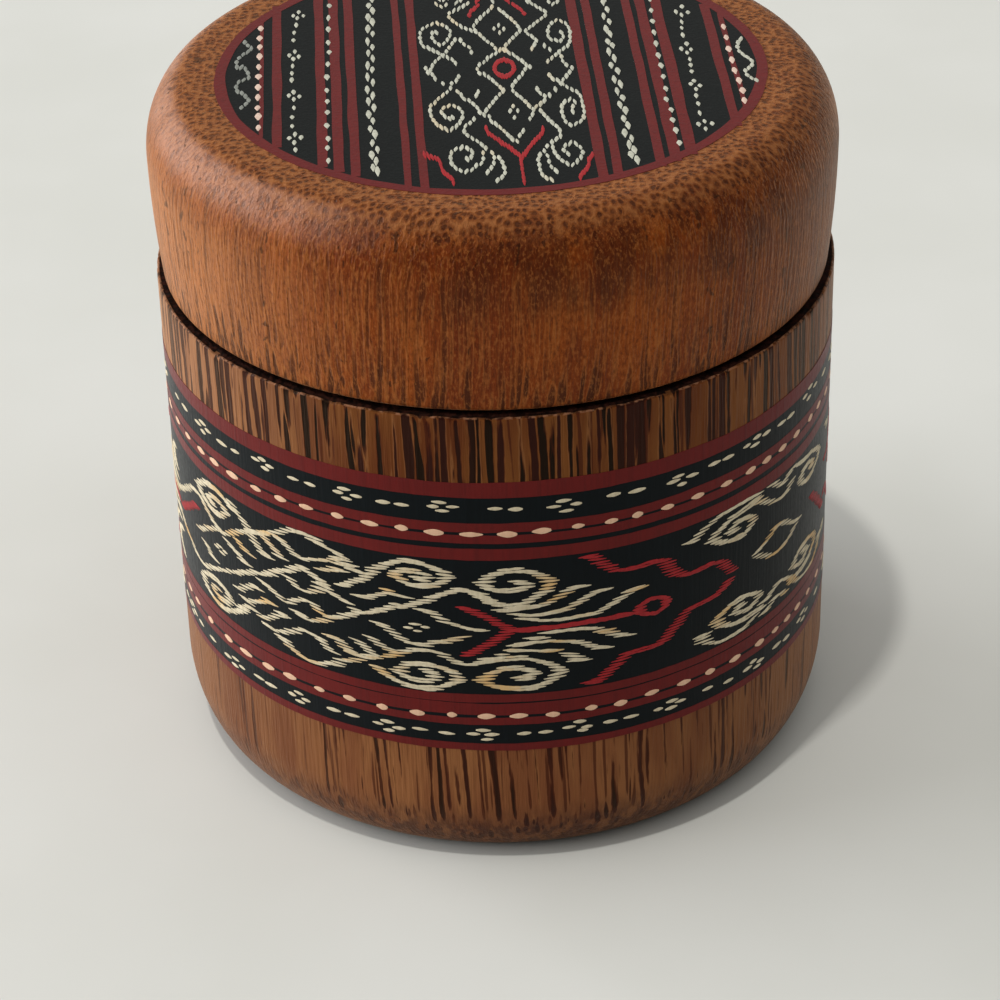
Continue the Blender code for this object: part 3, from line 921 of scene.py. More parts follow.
BIG_FIGURE = [
    # upper and lower spirals at its right end
    [(-28.3, 24.3), (-26.5, 23.9), (-25.5, 23.4), (-23.5, 22.6), (-22, 21.7), (-21, 20.8), (-19.5, 20.1),
     (-17.5, 19.4), (-15.5, 19.1), (-13.5, 19.2), (-11.5, 19.6), (-10, 20.1), (-9.2, 20.7), (-9.6, 21.3),
     (-10.8, 21.8), (-12.5, 22.1), (-14.5, 22.3), (-16.5, 21.9), (-17.7, 21.2), (-17, 20.7),
     (-15.5, 20.4), (-13.5, 20.4), (-12.6, 20.9), (-13.6, 21.3), (-14.8, 21.2)],
    [(-22.5, 34.3), (-21, 34.8), (-20, 35.3), (-18.5, 35.8), (-16.5, 36.2), (-14, 36.4), (-12, 36.2),
     (-10, 35.7), (-8.5, 35.3), (-7.8, 34.6), (-8.5, 34), (-9.5, 33.5), (-11.5, 33.1), (-13.5, 33),
     (-15.5, 33.2), (-17, 33.7), (-17.8, 34.4), (-17, 35), (-15.5, 35.3), (-13.5, 35.3), (-12, 35),
     (-11.8, 34.4), (-12.8, 33.9), (-14, 34)],
    # rising band towards the right spiral, and its feathers
    [(-31, 29.3), (-29, 28.9), (-27.5, 28.5), (-26, 27.9), (-24.5, 27.4), (-23, 27.2), (-21.5, 26.7),
     (-20, 26.2), (-18, 25.5), (-16, 25.2), (-14.5, 24.7), (-13, 24.3), (-12, 23.8), (-10.5, 23.3),
     (-9, 22.9), (-7.5, 22.5), (-6, 22.4), (-5, 22.7), (-4, 23.2), (-2.5, 23.8), (-1, 24.4)],
    [(-25, 25.1), (-23, 24.9), (-21.5, 24.6), (-20.5, 24.2), (-19, 23.9), (-17.5, 23.9), (-15.5, 24.1)],
    [(-19.6, 23.4), (-18.8, 23.4)],
    # lozenge
    [(-14.5, 25.5), (-12.5, 25.7), (-11, 26.2), (-9.5, 26.9), (-8, 27.2), (-6.5, 27.5), (-4.5, 27.8),
     (-2.5, 27.8)],
    [(-6.5, 28.6), (-8, 29.2), (-10, 29.6), (-12, 29.9), (-12.5, 30.3)],
    [(-22, 28.1), (-20, 28.6), (-18.5, 29.2), (-17, 29.8), (-15.5, 30.3), (-12, 30.3)],
    # lower band and its feathers
    [(-21, 32.9), (-19, 32.5), (-17.5, 31.9), (-16, 31.4), (-14.5, 31.1), (-12.5, 31), (-11, 31.2),
     (-10, 31.7), (-8.5, 32.1), (-7, 32.6), (-5.5, 32.6), (-4, 32.3), (-2.5, 32.1), (-1, 31.7)],
    [(-23.5, 30.3), (-22, 30.8), (-20.5, 31.3), (-19, 31.7), (-17.5, 32)],
    [(-26, 31.2), (-24, 31.8), (-23, 32.3), (-21.5, 32.9)],
    [(-28, 32.7), (-26.5, 33.3), (-24.5, 33.5), (-22.5, 33.2), (-21, 33)],
    [(-31.2, 31.8), (-29, 31.9), (-27.8, 32.4), (-26.8, 32.8), (-25.5, 33.2), (-24, 33.4)],
    # upper eye
    [(-47.5, 21.9), (-44, 21.1), (-41, 20.4), (-39, 19.6), (-37, 18.9), (-35, 18.7), (-33, 18.7),
     (-30.8, 18.8)],
    [(-33, 19.1), (-31, 19.4), (-29, 19.7), (-27.5, 20), (-26, 20.4)],
    [(-41.5, 20.5), (-40, 20.7), (-38.5, 21.1), (-37.5, 21.5), (-36.5, 21.9), (-35, 22.2), (-33, 21.9),
     (-30.5, 21.4), (-28, 20.8), (-26, 20.5)],
    [(-32.4, 23), (-29, 22.4), (-26.5, 22)],
    [(-28.6, 21.5), (-26.5, 21.2), (-24.3, 21)],
    [(-26, 21.6), (-23, 21.8)],
    # crossings to the left of the eye
    [(-52, 19.2), (-50, 20), (-48.5, 20.7), (-47, 21.5), (-45.5, 23), (-44, 23.5), (-42.5, 24),
     (-41.3, 23.9)],
    [(-52, 23.7), (-50.5, 23.2), (-49, 22.6), (-47, 22), (-45, 21.6), (-43.5, 21.2), (-41, 20.5)],
    [(-44, 21.2), (-42.5, 21.8), (-41, 22.4), (-39.5, 23.1), (-38.3, 23.3)],
    [(-51.5, 24), (-49.5, 24.4), (-48, 24.9), (-46, 25.2)],
    [(-52, 25.8), (-50, 26.2), (-48.5, 26.7), (-46.8, 26.7)],
    # middle band and small eye
    [(-52, 29.3), (-50, 28.7), (-48, 28), (-46, 27.3), (-44, 26.9), (-42, 26.2), (-40.5, 25.4), (-39, 25),
     (-37.5, 24.5), (-36.5, 23.9), (-35, 23.6), (-33.5, 23.7), (-32.5, 24), (-31.5, 24.4), (-30, 24.6)],
    [(-39.5, 25.5), (-38, 25.8), (-37, 26.2), (-35.5, 26.6), (-34, 26.6), (-32.5, 26.2), (-31, 25.9)],
    [(-33, 25), (-31, 25), (-29, 25.1)],
    [(-33, 25.6), (-31, 25.5), (-29.5, 25.6), (-28, 26), (-26.5, 26.3), (-25.2, 26.6)],
    [(-26.5, 27), (-24, 27.1)],
    # lower eye
    [(-45.5, 27.9), (-43.5, 28.2), (-41.5, 28.6), (-40, 29.1), (-38.7, 29.5)],
    [(-38.7, 29.4), (-37.5, 28.7), (-36, 28.2), (-34.5, 27.9), (-33, 28.2), (-31.8, 28.7), (-30.7, 29.2)],
    [(-37.5, 30), (-36, 30.2), (-34.5, 30.6), (-33, 30.3), (-31.5, 30), (-30, 29.5)],
    # bottom eye
    [(-41.5, 34.1), (-40, 33.8), (-38.5, 33.3), (-37, 32.7), (-35.5, 32.3), (-34, 32.4), (-32.5, 32.6),
     (-31.5, 33.2), (-30, 33.8), (-28.7, 34.1)],
    [(-44.5, 33.9), (-43, 34.1), (-41.5, 34.2)],
    [(-42, 34.7), (-40.5, 34.8), (-39, 35.4), (-37.5, 35.9), (-36, 36.2), (-34.5, 36.4), (-32.5, 36.2),
     (-31, 35.8), (-29, 35.5), (-28.5, 34.9), (-26.5, 34.5), (-25, 34.1), (-24, 33.8)],
    # feathers at the left
    [(-52, 31.4), (-50, 30.9), (-48.5, 30.2), (-47, 29.6), (-44.7, 29.3)],
    [(-50.5, 32.1), (-48.5, 32.1), (-46.5, 31.5), (-44.5, 31), (-43, 30.5), (-41.3, 30.4)],
    [(-46, 33.4), (-44, 33), (-42.5, 32.4), (-41, 31.9), (-40, 31.4), (-38.3, 31.3)],
    [(-52, 34.1), (-50, 33.6), (-48.5, 33.1), (-46, 32.8)],
    # spirals, lozenge and bands at the left end
    [(-50, 20.4), (-52, 19.9), (-54, 19.4), (-56, 19.2), (-58, 19.3), (-60, 19.7), (-61.7, 20.4),
     (-62.3, 21), (-61, 21.6), (-59.5, 22.2), (-57.5, 22.5), (-55.5, 22.4), (-54, 22), (-53, 21.4),
     (-53.7, 20.9), (-55, 20.6), (-57, 20.6), (-58.3, 21.1), (-57.5, 21.6), (-56.3, 21.5)],
    [(-49, 33.6), (-51, 34.5), (-53, 35.2), (-55, 35.7), (-57.5, 36), (-60, 35.8), (-62, 35.3),
     (-63.2, 34.5), (-63, 33.8), (-61.5, 33.1), (-59.5, 32.8), (-57, 32.7), (-55, 33), (-54, 33.6),
     (-54.3, 34.3), (-55.8, 34.8), (-58, 34.9), (-59.3, 34.3), (-58.2, 33.7), (-56.7, 33.9)],
    [(-64.5, 27.6), (-62, 26.9), (-60, 26.1), (-58, 25.3), (-56, 24.8), (-54, 24.6), (-52, 23.9),
     (-50, 23.3)],
    [(-62.5, 28.5), (-60.5, 28.9), (-59, 29.5), (-57, 29.8)],
    [(-54, 25.2), (-52.5, 25.7), (-50.5, 26), (-49, 26.6)],
    [(-80, 27.5), (-76, 26.5), (-72, 25.2), (-69, 24), (-66.5, 22.9), (-64, 22.4), (-62, 22.4),
     (-60.5, 22.9), (-59, 23.6), (-57, 24.2), (-55, 24.5)],
    [(-75, 29.5), (-70, 30.9), (-68, 31.3), (-66, 32), (-64, 32.3), (-62, 32.2), (-60, 31.6), (-58, 31),
     (-56, 30.4), (-54, 29.9), (-52, 29.3)],
]

# Spirals and feathers between the big figure and the scarlet stem
RIGHT_OF_FIGURE = [
    [(-5, 22.6), (-3.5, 23.2), (-2, 23.9), (-0.5, 24.5), (1, 24.6), (3, 24.3), (4.5, 23.7), (6, 23.1),
     (7, 22.4), (7.3, 21.6), (6.5, 20.9), (5.2, 20.4), (3.5, 19.9), (1.5, 19.8), (-0.5, 20), (-2.3, 20.6),
     (-3.2, 21.3), (-2.7, 22), (-1.3, 22.4), (0.8, 22.5), (2.5, 22.3), (3.5, 21.9), (2.8, 21.5),
     (1.2, 21.4)],
    [(-4, 32), (2, 31.7), (4, 32), (6, 32.5), (8.3, 33.4), (8.7, 34.1), (7.8, 34.9), (6, 35.6), (3.5, 36),
     (0.5, 35.9), (-2, 35.6), (-3.7, 34.9), (-3.2, 34.2), (-1.5, 33.5), (0.7, 33.1), (2.7, 33.2),
     (4.1, 33.7), (4.2, 34.3), (2.8, 34.6), (1.3, 34.6)],
    [(-1.5, 25.2), (1, 25.1), (3.5, 24.9), (6, 24.6), (8, 24.1), (9.5, 23.5), (11, 22.9), (13.7, 22.7)],
    [(1, 25.6), (3, 25.9), (5.5, 26), (8, 25.8), (10, 25.5), (12, 24.9), (13.5, 24.3), (15, 23.9),
     (17.5, 23.7)],
    [(2, 26.3), (4, 26.5), (6, 26.8), (9, 26.9), (12, 26.8), (14.5, 26.7), (16.5, 26.3), (18, 25.8),
     (19.5, 25.2), (21, 24.7), (23.8, 24.5)],
    [(5.7, 28.6), (8, 28.5), (12, 28.5), (14, 28.7), (15.8, 28.8)],
    [(14.5, 29.3), (16.5, 29.4), (17.5, 29.9), (19, 30.4), (21.3, 30.8)],
    [(3.2, 29.2), (7, 29.1)],
    [(1, 30.1), (3, 29.8), (5, 29.7), (7, 29.7), (9, 29.9), (11, 30.1), (12.5, 30.5), (14, 31),
     (15.5, 31.5), (17.5, 31.8)],
    [(-0.3, 30.7), (2, 30.7), (4, 30.8), (6.5, 31), (9, 31)],
    [(9.5, 31.5), (11, 32.1), (12, 32.8), (13.7, 32.9)],
    [(-2, 31.2), (0.8, 31.2)],
]

SMALL_FIGURE = [
    [(30.5, 20.6), (32.5, 20.6), (33.5, 20.1), (35, 19.6), (37, 19), (39, 18.7), (41, 18.6), (43.5, 18.6),
     (46, 18.6), (48, 18.7)],
    [(58, 20.4), (56, 21.4), (54, 21.6), (52, 21.4), (50.5, 20.9), (49, 20.4), (47, 19.8)],
    [(48, 19.2), (45.5, 19.5), (43, 19.7), (41, 19.9), (39, 20.4), (37.3, 21), (36.7, 21.7), (38, 22.3),
     (40, 22.8), (42, 23), (44, 22.9), (45.5, 22.4), (46, 21.7), (45, 21.1), (43.5, 20.8), (42, 20.9),
     (40.8, 21.4), (41, 21.8), (42.3, 21.7)],
    [(33, 34.4), (34.5, 34.3), (34.8, 34.9), (35.5, 35.5), (37, 36), (39, 36.4), (41, 36.4), (43.5, 36.3),
     (45.5, 36), (48, 35.5)],
    [(50, 35.1), (47, 35), (44, 35), (41.5, 34.8), (39.5, 34.3), (38, 33.6), (38, 32.9), (39.3, 32.3),
     (41.5, 31.9), (44, 31.8), (46, 32.1), (47.5, 32.6), (48, 33.1), (47, 33.6), (45, 33.9), (43, 33.7),
     (42, 33.2), (43.5, 32.8), (44.8, 32.8)],
    [(48.5, 34.5), (51, 34.2), (53, 33.6), (55, 33.5), (57, 34), (59, 34.8)],
    [(48.5, 36.2), (51, 35.8), (53, 35.2), (55, 35.4), (57.5, 36)],
    [(46, 26.9), (48, 26.5), (50, 26), (52, 25.3), (53.5, 25.1), (55, 25.5), (57, 26.2), (59, 26.8),
     (61.5, 27.2)],
    [(46.5, 27), (48.5, 27.6), (50, 28.2), (51.5, 28.7), (54, 28.8), (56.5, 28.4), (58, 28), (60, 27.3)],
    [(50, 18.7), (51.5, 18.9), (53, 19.4), (54.5, 19.8), (56.5, 19.3), (58.5, 18.8)],
]

LOZENGE_DOTS = [
    (-14.7, 27.6), (-13, 27.85), (-15.9, 28.2), (-14.3, 28.5), (-56, 27.1), (-54.3, 27.3), (-57, 27.5),
    (-55.3, 27.8),
]

SCARLET_WALL = [
    [(-7.5, 24.8), (-5.5, 25.1), (-4, 25.7), (-2.5, 26.2), (-1, 26.9), (0.5, 27.5), (2, 27.9)],
    [(-7, 31.5), (-5.5, 31), (-4, 30.3), (-2.5, 29.7), (-1.2, 29), (0, 28.4), (1.2, 27.9)],
    [(12.8, 19), (14.5, 19), (15.5, 19.8), (16.8, 20.6), (18, 21.3), (19.5, 21.6), (22, 21.7), (25, 21.6),
     (26.8, 21.8), (27.5, 22.4), (28, 23.2), (29, 24), (30.5, 24.6), (32, 24.9), (34.5, 24.8), (37, 24.8),
     (38.5, 25.2), (39.5, 26), (40.5, 26.7), (41.7, 27.4)],
    [(40.8, 28), (39.5, 28.8), (38, 29.3), (35.5, 29.6), (33, 29.7), (31, 30.1), (30, 30.9), (28.5, 31.8),
     (27.5, 32.5), (26.5, 33), (24.5, 33.2), (22, 33.2), (20, 33.4), (19, 34.1), (17.5, 34.9),
     (16.3, 35.6), (15, 36.1), (12.8, 36.3)],
    [(-63.5, 24.4), (-66, 25.2), (-69, 26.5), (-72, 27.7), (-73.5, 28.3)],
    [(66, 26), (69, 27.5), (72, 29.5), (75, 31.2)],
]
SCARLET_STEM = [(1, 27.9), (6, 27.85), (11, 27.8), (16, 27.75), (21.5, 27.8)]
SCARLET_RING = (25.0, 27.6)
SCARLET_RING_RADII = (2.542, 1.04)

# The figures repeat twice round the wall. Each is like its own mirror image about these places.
REPEAT = 180
BIG_MIRROR = -35
SMALL_MIRROR = 53.5
# What was read as far round as this is painted, and what lies in the span is painted mirrored as well
TRACED_END = 75
MIRRORED_SPAN = (5, 35)
# Spirals and bands are the paths of at least this many points, and are painted more thickly than feathers
LONG_PATH = 15
# A line on the wall has two rows of dabs where it is this level, 1 being quite level
LEVEL_ENOUGH = 0.62


def wall_dab(dabs, degrees, below, length, width, lean=0.0, tint=None, taper=POINTED):
    """One dab on the wall; the length is in mm and runs round the wall."""

    def place(along, across, lift):
        return on_wall(degrees + math.degrees(along / BODY_RADIUS), below + across, lift)

    dabs.add(place, length, width, lean, tint, taper)


def repeats(spot, lean):
    """Every place round the wall of a dab that was read at one place, with its lean there."""
    degrees, below = spot
    found = []
    for turn in (0, REPEAT):
        if -TRACED_END <= degrees <= TRACED_END:
            found.append((degrees + turn, below, lean))
        if MIRRORED_SPAN[0] < degrees < MIRRORED_SPAN[1]:
            found.append((2 * BIG_MIRROR - degrees + turn, below, -lean))
    return found


def leaning(slope, follow):
    """How much a dab leans on a path of this slope: a share of it, but level again where it is steep."""
    return follow * slope / (1 + (slope / 0.8) ** 2)


def wall_line(dabs, points, brush):
    """A line of near-level dabs along a path on the wall, at every place where it repeats.

    Where the path runs level the dabs lie in two rows. The dabs at its two ends are moved in a little.
    """
    flat = [(degrees * MM_PER_DEGREE, below) for degrees, below in points]

    def slope_of(heading):
        return heading[1] / heading[0] if abs(heading[0]) > TINY else STEEPEST

    def measure(heading):
        across = heading[1] - leaning(slope_of(heading), brush.follow) * heading[0]
        return math.hypot(across / brush.step[1], heading[0] / brush.step[0])

    spots = stations(flat, measure)
    for index, ((along, below), heading) in enumerate(spots):
        lean = leaning(slope_of(heading), brush.follow)
        level = abs(heading[0]) / (abs(heading[0]) + 2.5 * abs(heading[1]) + TINY)
        inward = math.copysign(0.5 * level, heading[0]) * ((index == 0) - (index == len(spots) - 1))
        for side in (-0.5, 0.5) if level > LEVEL_ENOUGH and len(spots) > 1 else (0,):
            shifted = (along + inward + side * brush.step[0] * 0.5) / MM_PER_DEGREE
            drop = below + side * brush.broad * level + dabs.chance.uniform(-0.04, 0.04)
            length = brush.length * (1.15 - 0.15 * level)
            for degrees, depth, turned_lean in repeats((shifted, drop), lean):
                wall_dab(dabs, degrees, depth, length, brush.width, turned_lean, taper=1.3)


def wall_dots(dabs, spots, size):
    """Single plain dabs of one size at chosen places on the wall, wherever they repeat."""
    for spot in spots:
        for degrees, below, _ in repeats(spot, 0):
            wall_dab(dabs, degrees, below, *size, tint=0, taper=BLUNT)


def mirrored(path, about):
    return [(2 * about - degrees, below) for degrees, below in path]


def wall_cream():
    dabs = Dabs(11)
    spirals = [mirrored(path, SMALL_MIRROR) for path in SMALL_FIGURE[2:5]]
    for path in BIG_FIGURE + RIGHT_OF_FIGURE + SMALL_FIGURE + spirals:
        wall_line(dabs, path, WALL_SPIRAL if len(path) >= LONG_PATH else WALL_FEATHER)
    wall_dots(dabs, LOZENGE_DOTS, LOZENGE_DOT)
    for clusters, dashes in ((CLUSTERS_UPPER, DASHES_UPPER), (CLUSTERS_LOWER, DASHES_LOWER)):
        for cluster in clusters:
            wall_dots(dabs, cluster, WALL_PETAL)
        wall_dots(dabs, dashes, WALL_DASH)
    return dabs


def wall_peach():
    """The dots that were read, and plain ones between the last and the first of them round the back."""
    dabs = Dabs(23)
    for dots, back_lift in ((PEACH_UPPER, 0.3), (PEACH_LOWER, 0.0)):
        for degrees, below, across in dots:
            length = across * math.radians(1) * BODY_RADIUS * 1.06
            wall_dab(dabs, degrees, below, length, PEACH_WIDTH, taper=BLUNT)
        unread = 360 + dots[0][0] - dots[-1][0]
        count = round(unread / PEACH_PITCH) - 1
        for index in range(count):
            degrees = dots[-1][0] + unread / (count + 1) * (index + 1)
            wall_dab(dabs, degrees, dots[0][1] - back_lift, PEACH_LENGTH, PEACH_WIDTH, taper=BLUNT)
    return dabs


def wall_scarlet():
    dabs = Dabs(37)
    for path in SCARLET_WALL:
        wall_line(dabs, path, WALL_SCARLET)
    wall_line(dabs, SCARLET_STEM, WALL_STEM)
    wall_line(dabs, oval(SCARLET_RING, SCARLET_RING_RADII), WALL_EYE)
    return dabs


# Lid ornament: (mm to the right, mm back). Its dabs run from front to back.

LID_FIGURE = [
    # spiral at the upper left, and what crosses it
    [(-6.05, 9.8), (-6.55, 10.6), (-6.8, 9.8), (-6.7, 8.5), (-6.25, 7.3), (-5.7, 6.7), (-5.2, 7.5),
     (-4.85, 8.65), (-4.6, 10), (-4.8, 11.15), (-5.5, 12.3), (-6.35, 12.9), (-7.3, 12.2), (-8, 11.15),
     (-8.2, 9.8), (-8.15, 8.5), (-8, 7.3), (-7.7, 6.35), (-7.1, 5.9), (-6.55, 5.2), (-6.05, 4.6),
     (-5.6, 3.85), (-4.8, 3.1), (-4.1, 2.1), (-4.05, 0.95)],
    [(-3.95, 8.65), (-4.2, 7.7), (-4.6, 6.5), (-5, 5.2), (-5.4, 4), (-6.15, 2.7), (-6.6, 1.55),
     (-6.8, 0.4), (-6.9, -0.4), (-6.45, -2.1), (-6.25, -2.9)],
    [(-3.55, 8.65), (-3.35, 7.5), (-2.9, 6.5), (-2.4, 5.8), (-2.2, 4.6), (-2.3, 3.85)],
    [(-7.5, 1.15), (-7.4, 0), (-7, -1.15)],
    [(-5.55, -3.3), (-5.4, -4.2)],
    # spiral at the upper right
    [(8.1, 9.8), (8.45, 9.2), (8.55, 8.1), (8.1, 6.9), (7.5, 7.5), (6.9, 7.7), (6.8, 9.2), (6.9, 10.8),
     (7.3, 12.1), (7.7, 12.8), (8.3, 12.7), (8.95, 11.9), (9.25, 10.8), (9.4, 9.2), (9.3, 7.7),
     (9.2, 6.15), (8.55, 5), (7.9, 4), (7.5, 3.1), (6.9, 2.1), (6.35, 1.15)],
    [(7.8, 4.5), (8.2, 2.7), (8.3, 1.5), (8.65, 0.6), (8.75, -0.2)],
    [(9.4, 0.2), (9.2, -1), (8.85, -1.9), (8.4, -3.1), (7.9, -4.2), (8, -5.2)],
    [(6.65, -1.5), (6.75, -2.9), (7.3, -3.3), (7.8, -4), (8.55, -5.4), (9.25, -6.35), (9.9, -7.3),
     (10.1, -8.85), (10.2, -10.3), (10.3, -11.85), (10.1, -13.8), (9.55, -14.7), (8.8, -15.3),
     (8.2, -14.5), (7.9, -12.8), (7.8, -10.9), (8.1, -9.5), (8.8, -8.8), (9.35, -9.5), (8.95, -11.1),
     (9.15, -12.4)],
    # upper lozenge and the bands beside it
    [(0.5, 17.7), (0, 16.35), (-0.6, 15.2), (-1.15, 14), (-1.65, 12.7), (-1.9, 11.5), (-1.55, 10)],
    [(0.95, 16.7), (1.55, 15.8), (2.2, 14.2), (2.8, 13.1), (3.25, 11.7), (3.55, 10.4), (3.1, 9.2),
     (2.6, 8.1), (2.2, 7.1), (1.75, 5.95), (1.9, 4.4)],
    [(-2.3, 18.85), (-2.9, 17.9), (-3.65, 16.9), (-4.6, 16), (-4.9, 15), (-4.5, 13.85), (-4.05, 12.9),
     (-3.3, 11.7), (-2.5, 10.9), (-1.55, 10), (-0.95, 8.85), (-0.4, 7.5), (0.3, 6.35), (0.75, 4.8)],
    [(4.25, 18.85), (5.2, 17.7), (5.95, 16.5), (6.65, 15.4), (6.55, 14.2), (5.75, 12.9), (5, 11.5),
     (4.3, 10.4), (4.2, 9.6), (4.8, 8.65), (5.4, 7.3), (5, 5.8), (4.7, 4.6)],
    [(6.25, 6.5), (6.35, 5.2)],
    [(6.9, 5.4), (6.9, 4.05)],
    # lozenge round the ring
    [(1.35, 5.4), (1.9, 4.4), (2.6, 3.65), (3.2, 2.5), (3.85, 1.35), (4.15, 0.2), (3.75, -0.95),
     (3.55, -1.9), (3.1, -2.9), (2.7, -3.85), (2.4, -5), (2.5, -6.35), (3.1, -7.5), (3.65, -8.65),
     (4.15, -10), (4.7, -11.2), (4.55, -12.2), (4.05, -14)],
    [(4.5, 0.75), (4.5, -0.4)],
    [(1.35, 5.4), (0.5, 3.85), (-0.2, 3.1), (-0.65, 1.9), (-1.35, 0.95), (-1.55, -0.2), (-1.25, -1.35),
     (-0.6, -1.7), (-0.1, -2.7), (0.4, -3.65), (0.95, -5), (1.4, -5.8), (0.6, -7.7), (0.2, -8.85),
     (-0.4, -10.4), (-0.8, -11.5)],
    # in front of the ring, on the left
    [(-3.65, -1.35), (-3.75, -2.5), (-4.15, -3.45)],
    [(-4.5, -3.1), (-4.5, -4.4), (-4.8, -5.6), (-5.4, -6.7), (-6, -7.7), (-6.35, -8.65), (-6.8, -9.35),
     (-6.9, -10.5), (-6.8, -11.85), (-6.5, -13.2), (-6.1, -14.35), (-5.55, -15.1), (-4.9, -15.7),
     (-4.3, -15.4), (-3.8, -14.5), (-3.45, -13.4), (-3.25, -12.2), (-3.35, -11.1), (-3.8, -10.1),
     (-4.5, -9.6), (-5.25, -9.9), (-5.65, -10.9), (-5.35, -12.05), (-4.9, -12.8), (-4.3, -12.9),
     (-4.6, -12.1)],
    [(-4.05, -5.6), (-3.45, -6.7), (-3.3, -7.7), (-2.6, -8.3), (-2.3, -8.85), (-1.9, -9.6), (-1.6, -10.3),
     (-1.2, -11.85), (-0.3, -12.6), (-0.1, -13.8), (0.5, -14.7), (1.1, -15.9), (1.65, -17.2),
     (2.3, -18.6), (3, -19.1)],
    [(-1.45, -5.6), (-1.55, -6.7), (-1.9, -7.3)],
    [(-1.8, -12.6), (-2.2, -13.6), (-2.65, -14.55), (-3.05, -15.1), (-3.05, -16.5), (-2.5, -17.6),
     (-1.8, -18.5), (-1.25, -19.5), (-0.75, -20.3), (-1.05, -21.5), (-1.05, -22.8), (-1.15, -24),
     (-1.7, -24.35), (-2.2, -25.5), (-2.95, -26), (-3.75, -25.5), (-4.4, -24.35), (-4.6, -23),
     (-4.5, -21.3), (-3.8, -20.3), (-2.95, -20.3), (-2.3, -21.1), (-2.3, -22.2), (-2.6, -23.2),
     (-3.05, -22.6)],
    [(-0.25, -21.1), (0.1, -22.4), (0.1, -24), (-0.35, -25.7), (-0.85, -26.65)],
    [(0.5, -22.4), (1, -24), (1.2, -25.5), (1.2, -27), (0.6, -28), (0.2, -28.7)],
    # in front of the ring, on the right
    [(3.6, -15.9), (3.2, -17), (2.8, -18)],
    [(5.1, -5.2), (5.4, -6.7), (5.95, -7.5), (6.05, -8.5), (5.5, -9.7), (4.7, -10.7)],
    [(6.55, -7.3), (6.55, -7.7)],
    [(7.25, -5.9), (7.25, -6.1)],
    [(5.3, -10.9), (5.7, -12.2), (6.1, -13.2), (6.45, -14.15), (7.05, -15.3), (7.4, -16.3), (7.5, -17.6),
     (7.3, -18.4), (6.55, -19.15), (6.55, -20.5), (6.75, -22), (7.3, -23.6), (8, -24.7), (8.5, -25.1),
     (9.15, -24.15), (9.75, -22.6), (9.65, -21.1), (9.05, -19.9), (8.2, -19.9), (7.7, -21.1), (8, -22.2),
     (8.5, -22.4)],
    [(6.2, -19.9), (5.6, -21.3), (6, -23), (6.1, -24.5), (6.45, -25.9), (7.05, -26.65)],
    [(5.3, -22), (4.9, -23.2), (5, -24.9), (5.1, -26.5), (5.5, -27.8), (6.2, -28.4), (6.35, -29)],
    # tips of the next spirals
    [(-6.6, 18.9), (-5.6, 17.6), (-4.9, 18.7)],
    [(6.9, 18.8), (7.6, 17.6), (8.4, 18.8)],
]
LID_DOTS = [
    (1.05, 11.9), (0.5, 11), (1.65, 10.8), (1.15, 9.8),
    (2.4, -10.1), (2.05, -11.3), (2.9, -11.3), (2.5, -13),
]

# The left zigzag is worn and grey, the right one is cream
LID_ZIGZAGS = [
    [(-28.8, 9.5), (-28.5, 8.3), (-27.9, 7.5), (-27.9, 6.5), (-28.4, 6), (-28.9, 5), (-29.3, 4),
     (-29.3, 2.8), (-29.1, 1.8), (-28.5, 2), (-28, 0.9), (-27.8, 0), (-27.7, -0.8), (-28.2, -1.4),
     (-28.8, -2), (-29, -3), (-29, -4), (-28.6, -4.6), (-28.2, -5), (-27.8, -5.8), (-27.4, -6.8),
     (-27.5, -7.5), (-28, -8.4), (-28.3, -9.2)],
    [(29.4, 6.5), (29, 6), (28.7, 5), (28.6, 4), (28.7, 3), (29, 2.2), (29.4, 1.5), (29.8, 0.7), (30, 0),
     (29.9, -0.8), (29.5, -1.6), (29.1, -2), (29, -2.8), (29.2, -3.7), (29.6, -4.4), (30, -4.8),
     (30.2, -5.5)],
]

LID_SCARLET = [
    [(-0.75, -15.1), (-0.45, -16.65), (0.3, -18), (1.1, -19.35), (1.85, -20.5), (2.6, -21.85),
     (3.1, -22.8)],
    [(5.6, -15.7), (5.5, -17), (4.9, -18.4), (4.45, -19.35), (3.95, -20.7), (3.5, -22), (3.1, -22.9)],
    [(3, -23.2), (3.1, -25.3), (3.2, -27.2), (3.3, -29.2)],
    [(-7.65, -21.5), (-6.8, -22.2), (-5.95, -23), (-5.65, -24.35), (-5.45, -25.7), (-4.9, -26.85),
     (-4.4, -27.8), (-4.3, -29)],
    [(10.9, -22.4), (10.4, -24), (10.3, -25.3), (9.9, -26.5), (9.45, -27.4), (9.25, -28.4)],
]

LID_ARMS = [
    [(-2.4, 14.4), (-2.3, 15.8), (-1.75, 16.9), (-1.15, 18.1)],
    [(4.25, 14.6), (3.85, 16), (3.25, 17.1), (2.7, 18.1)],
]

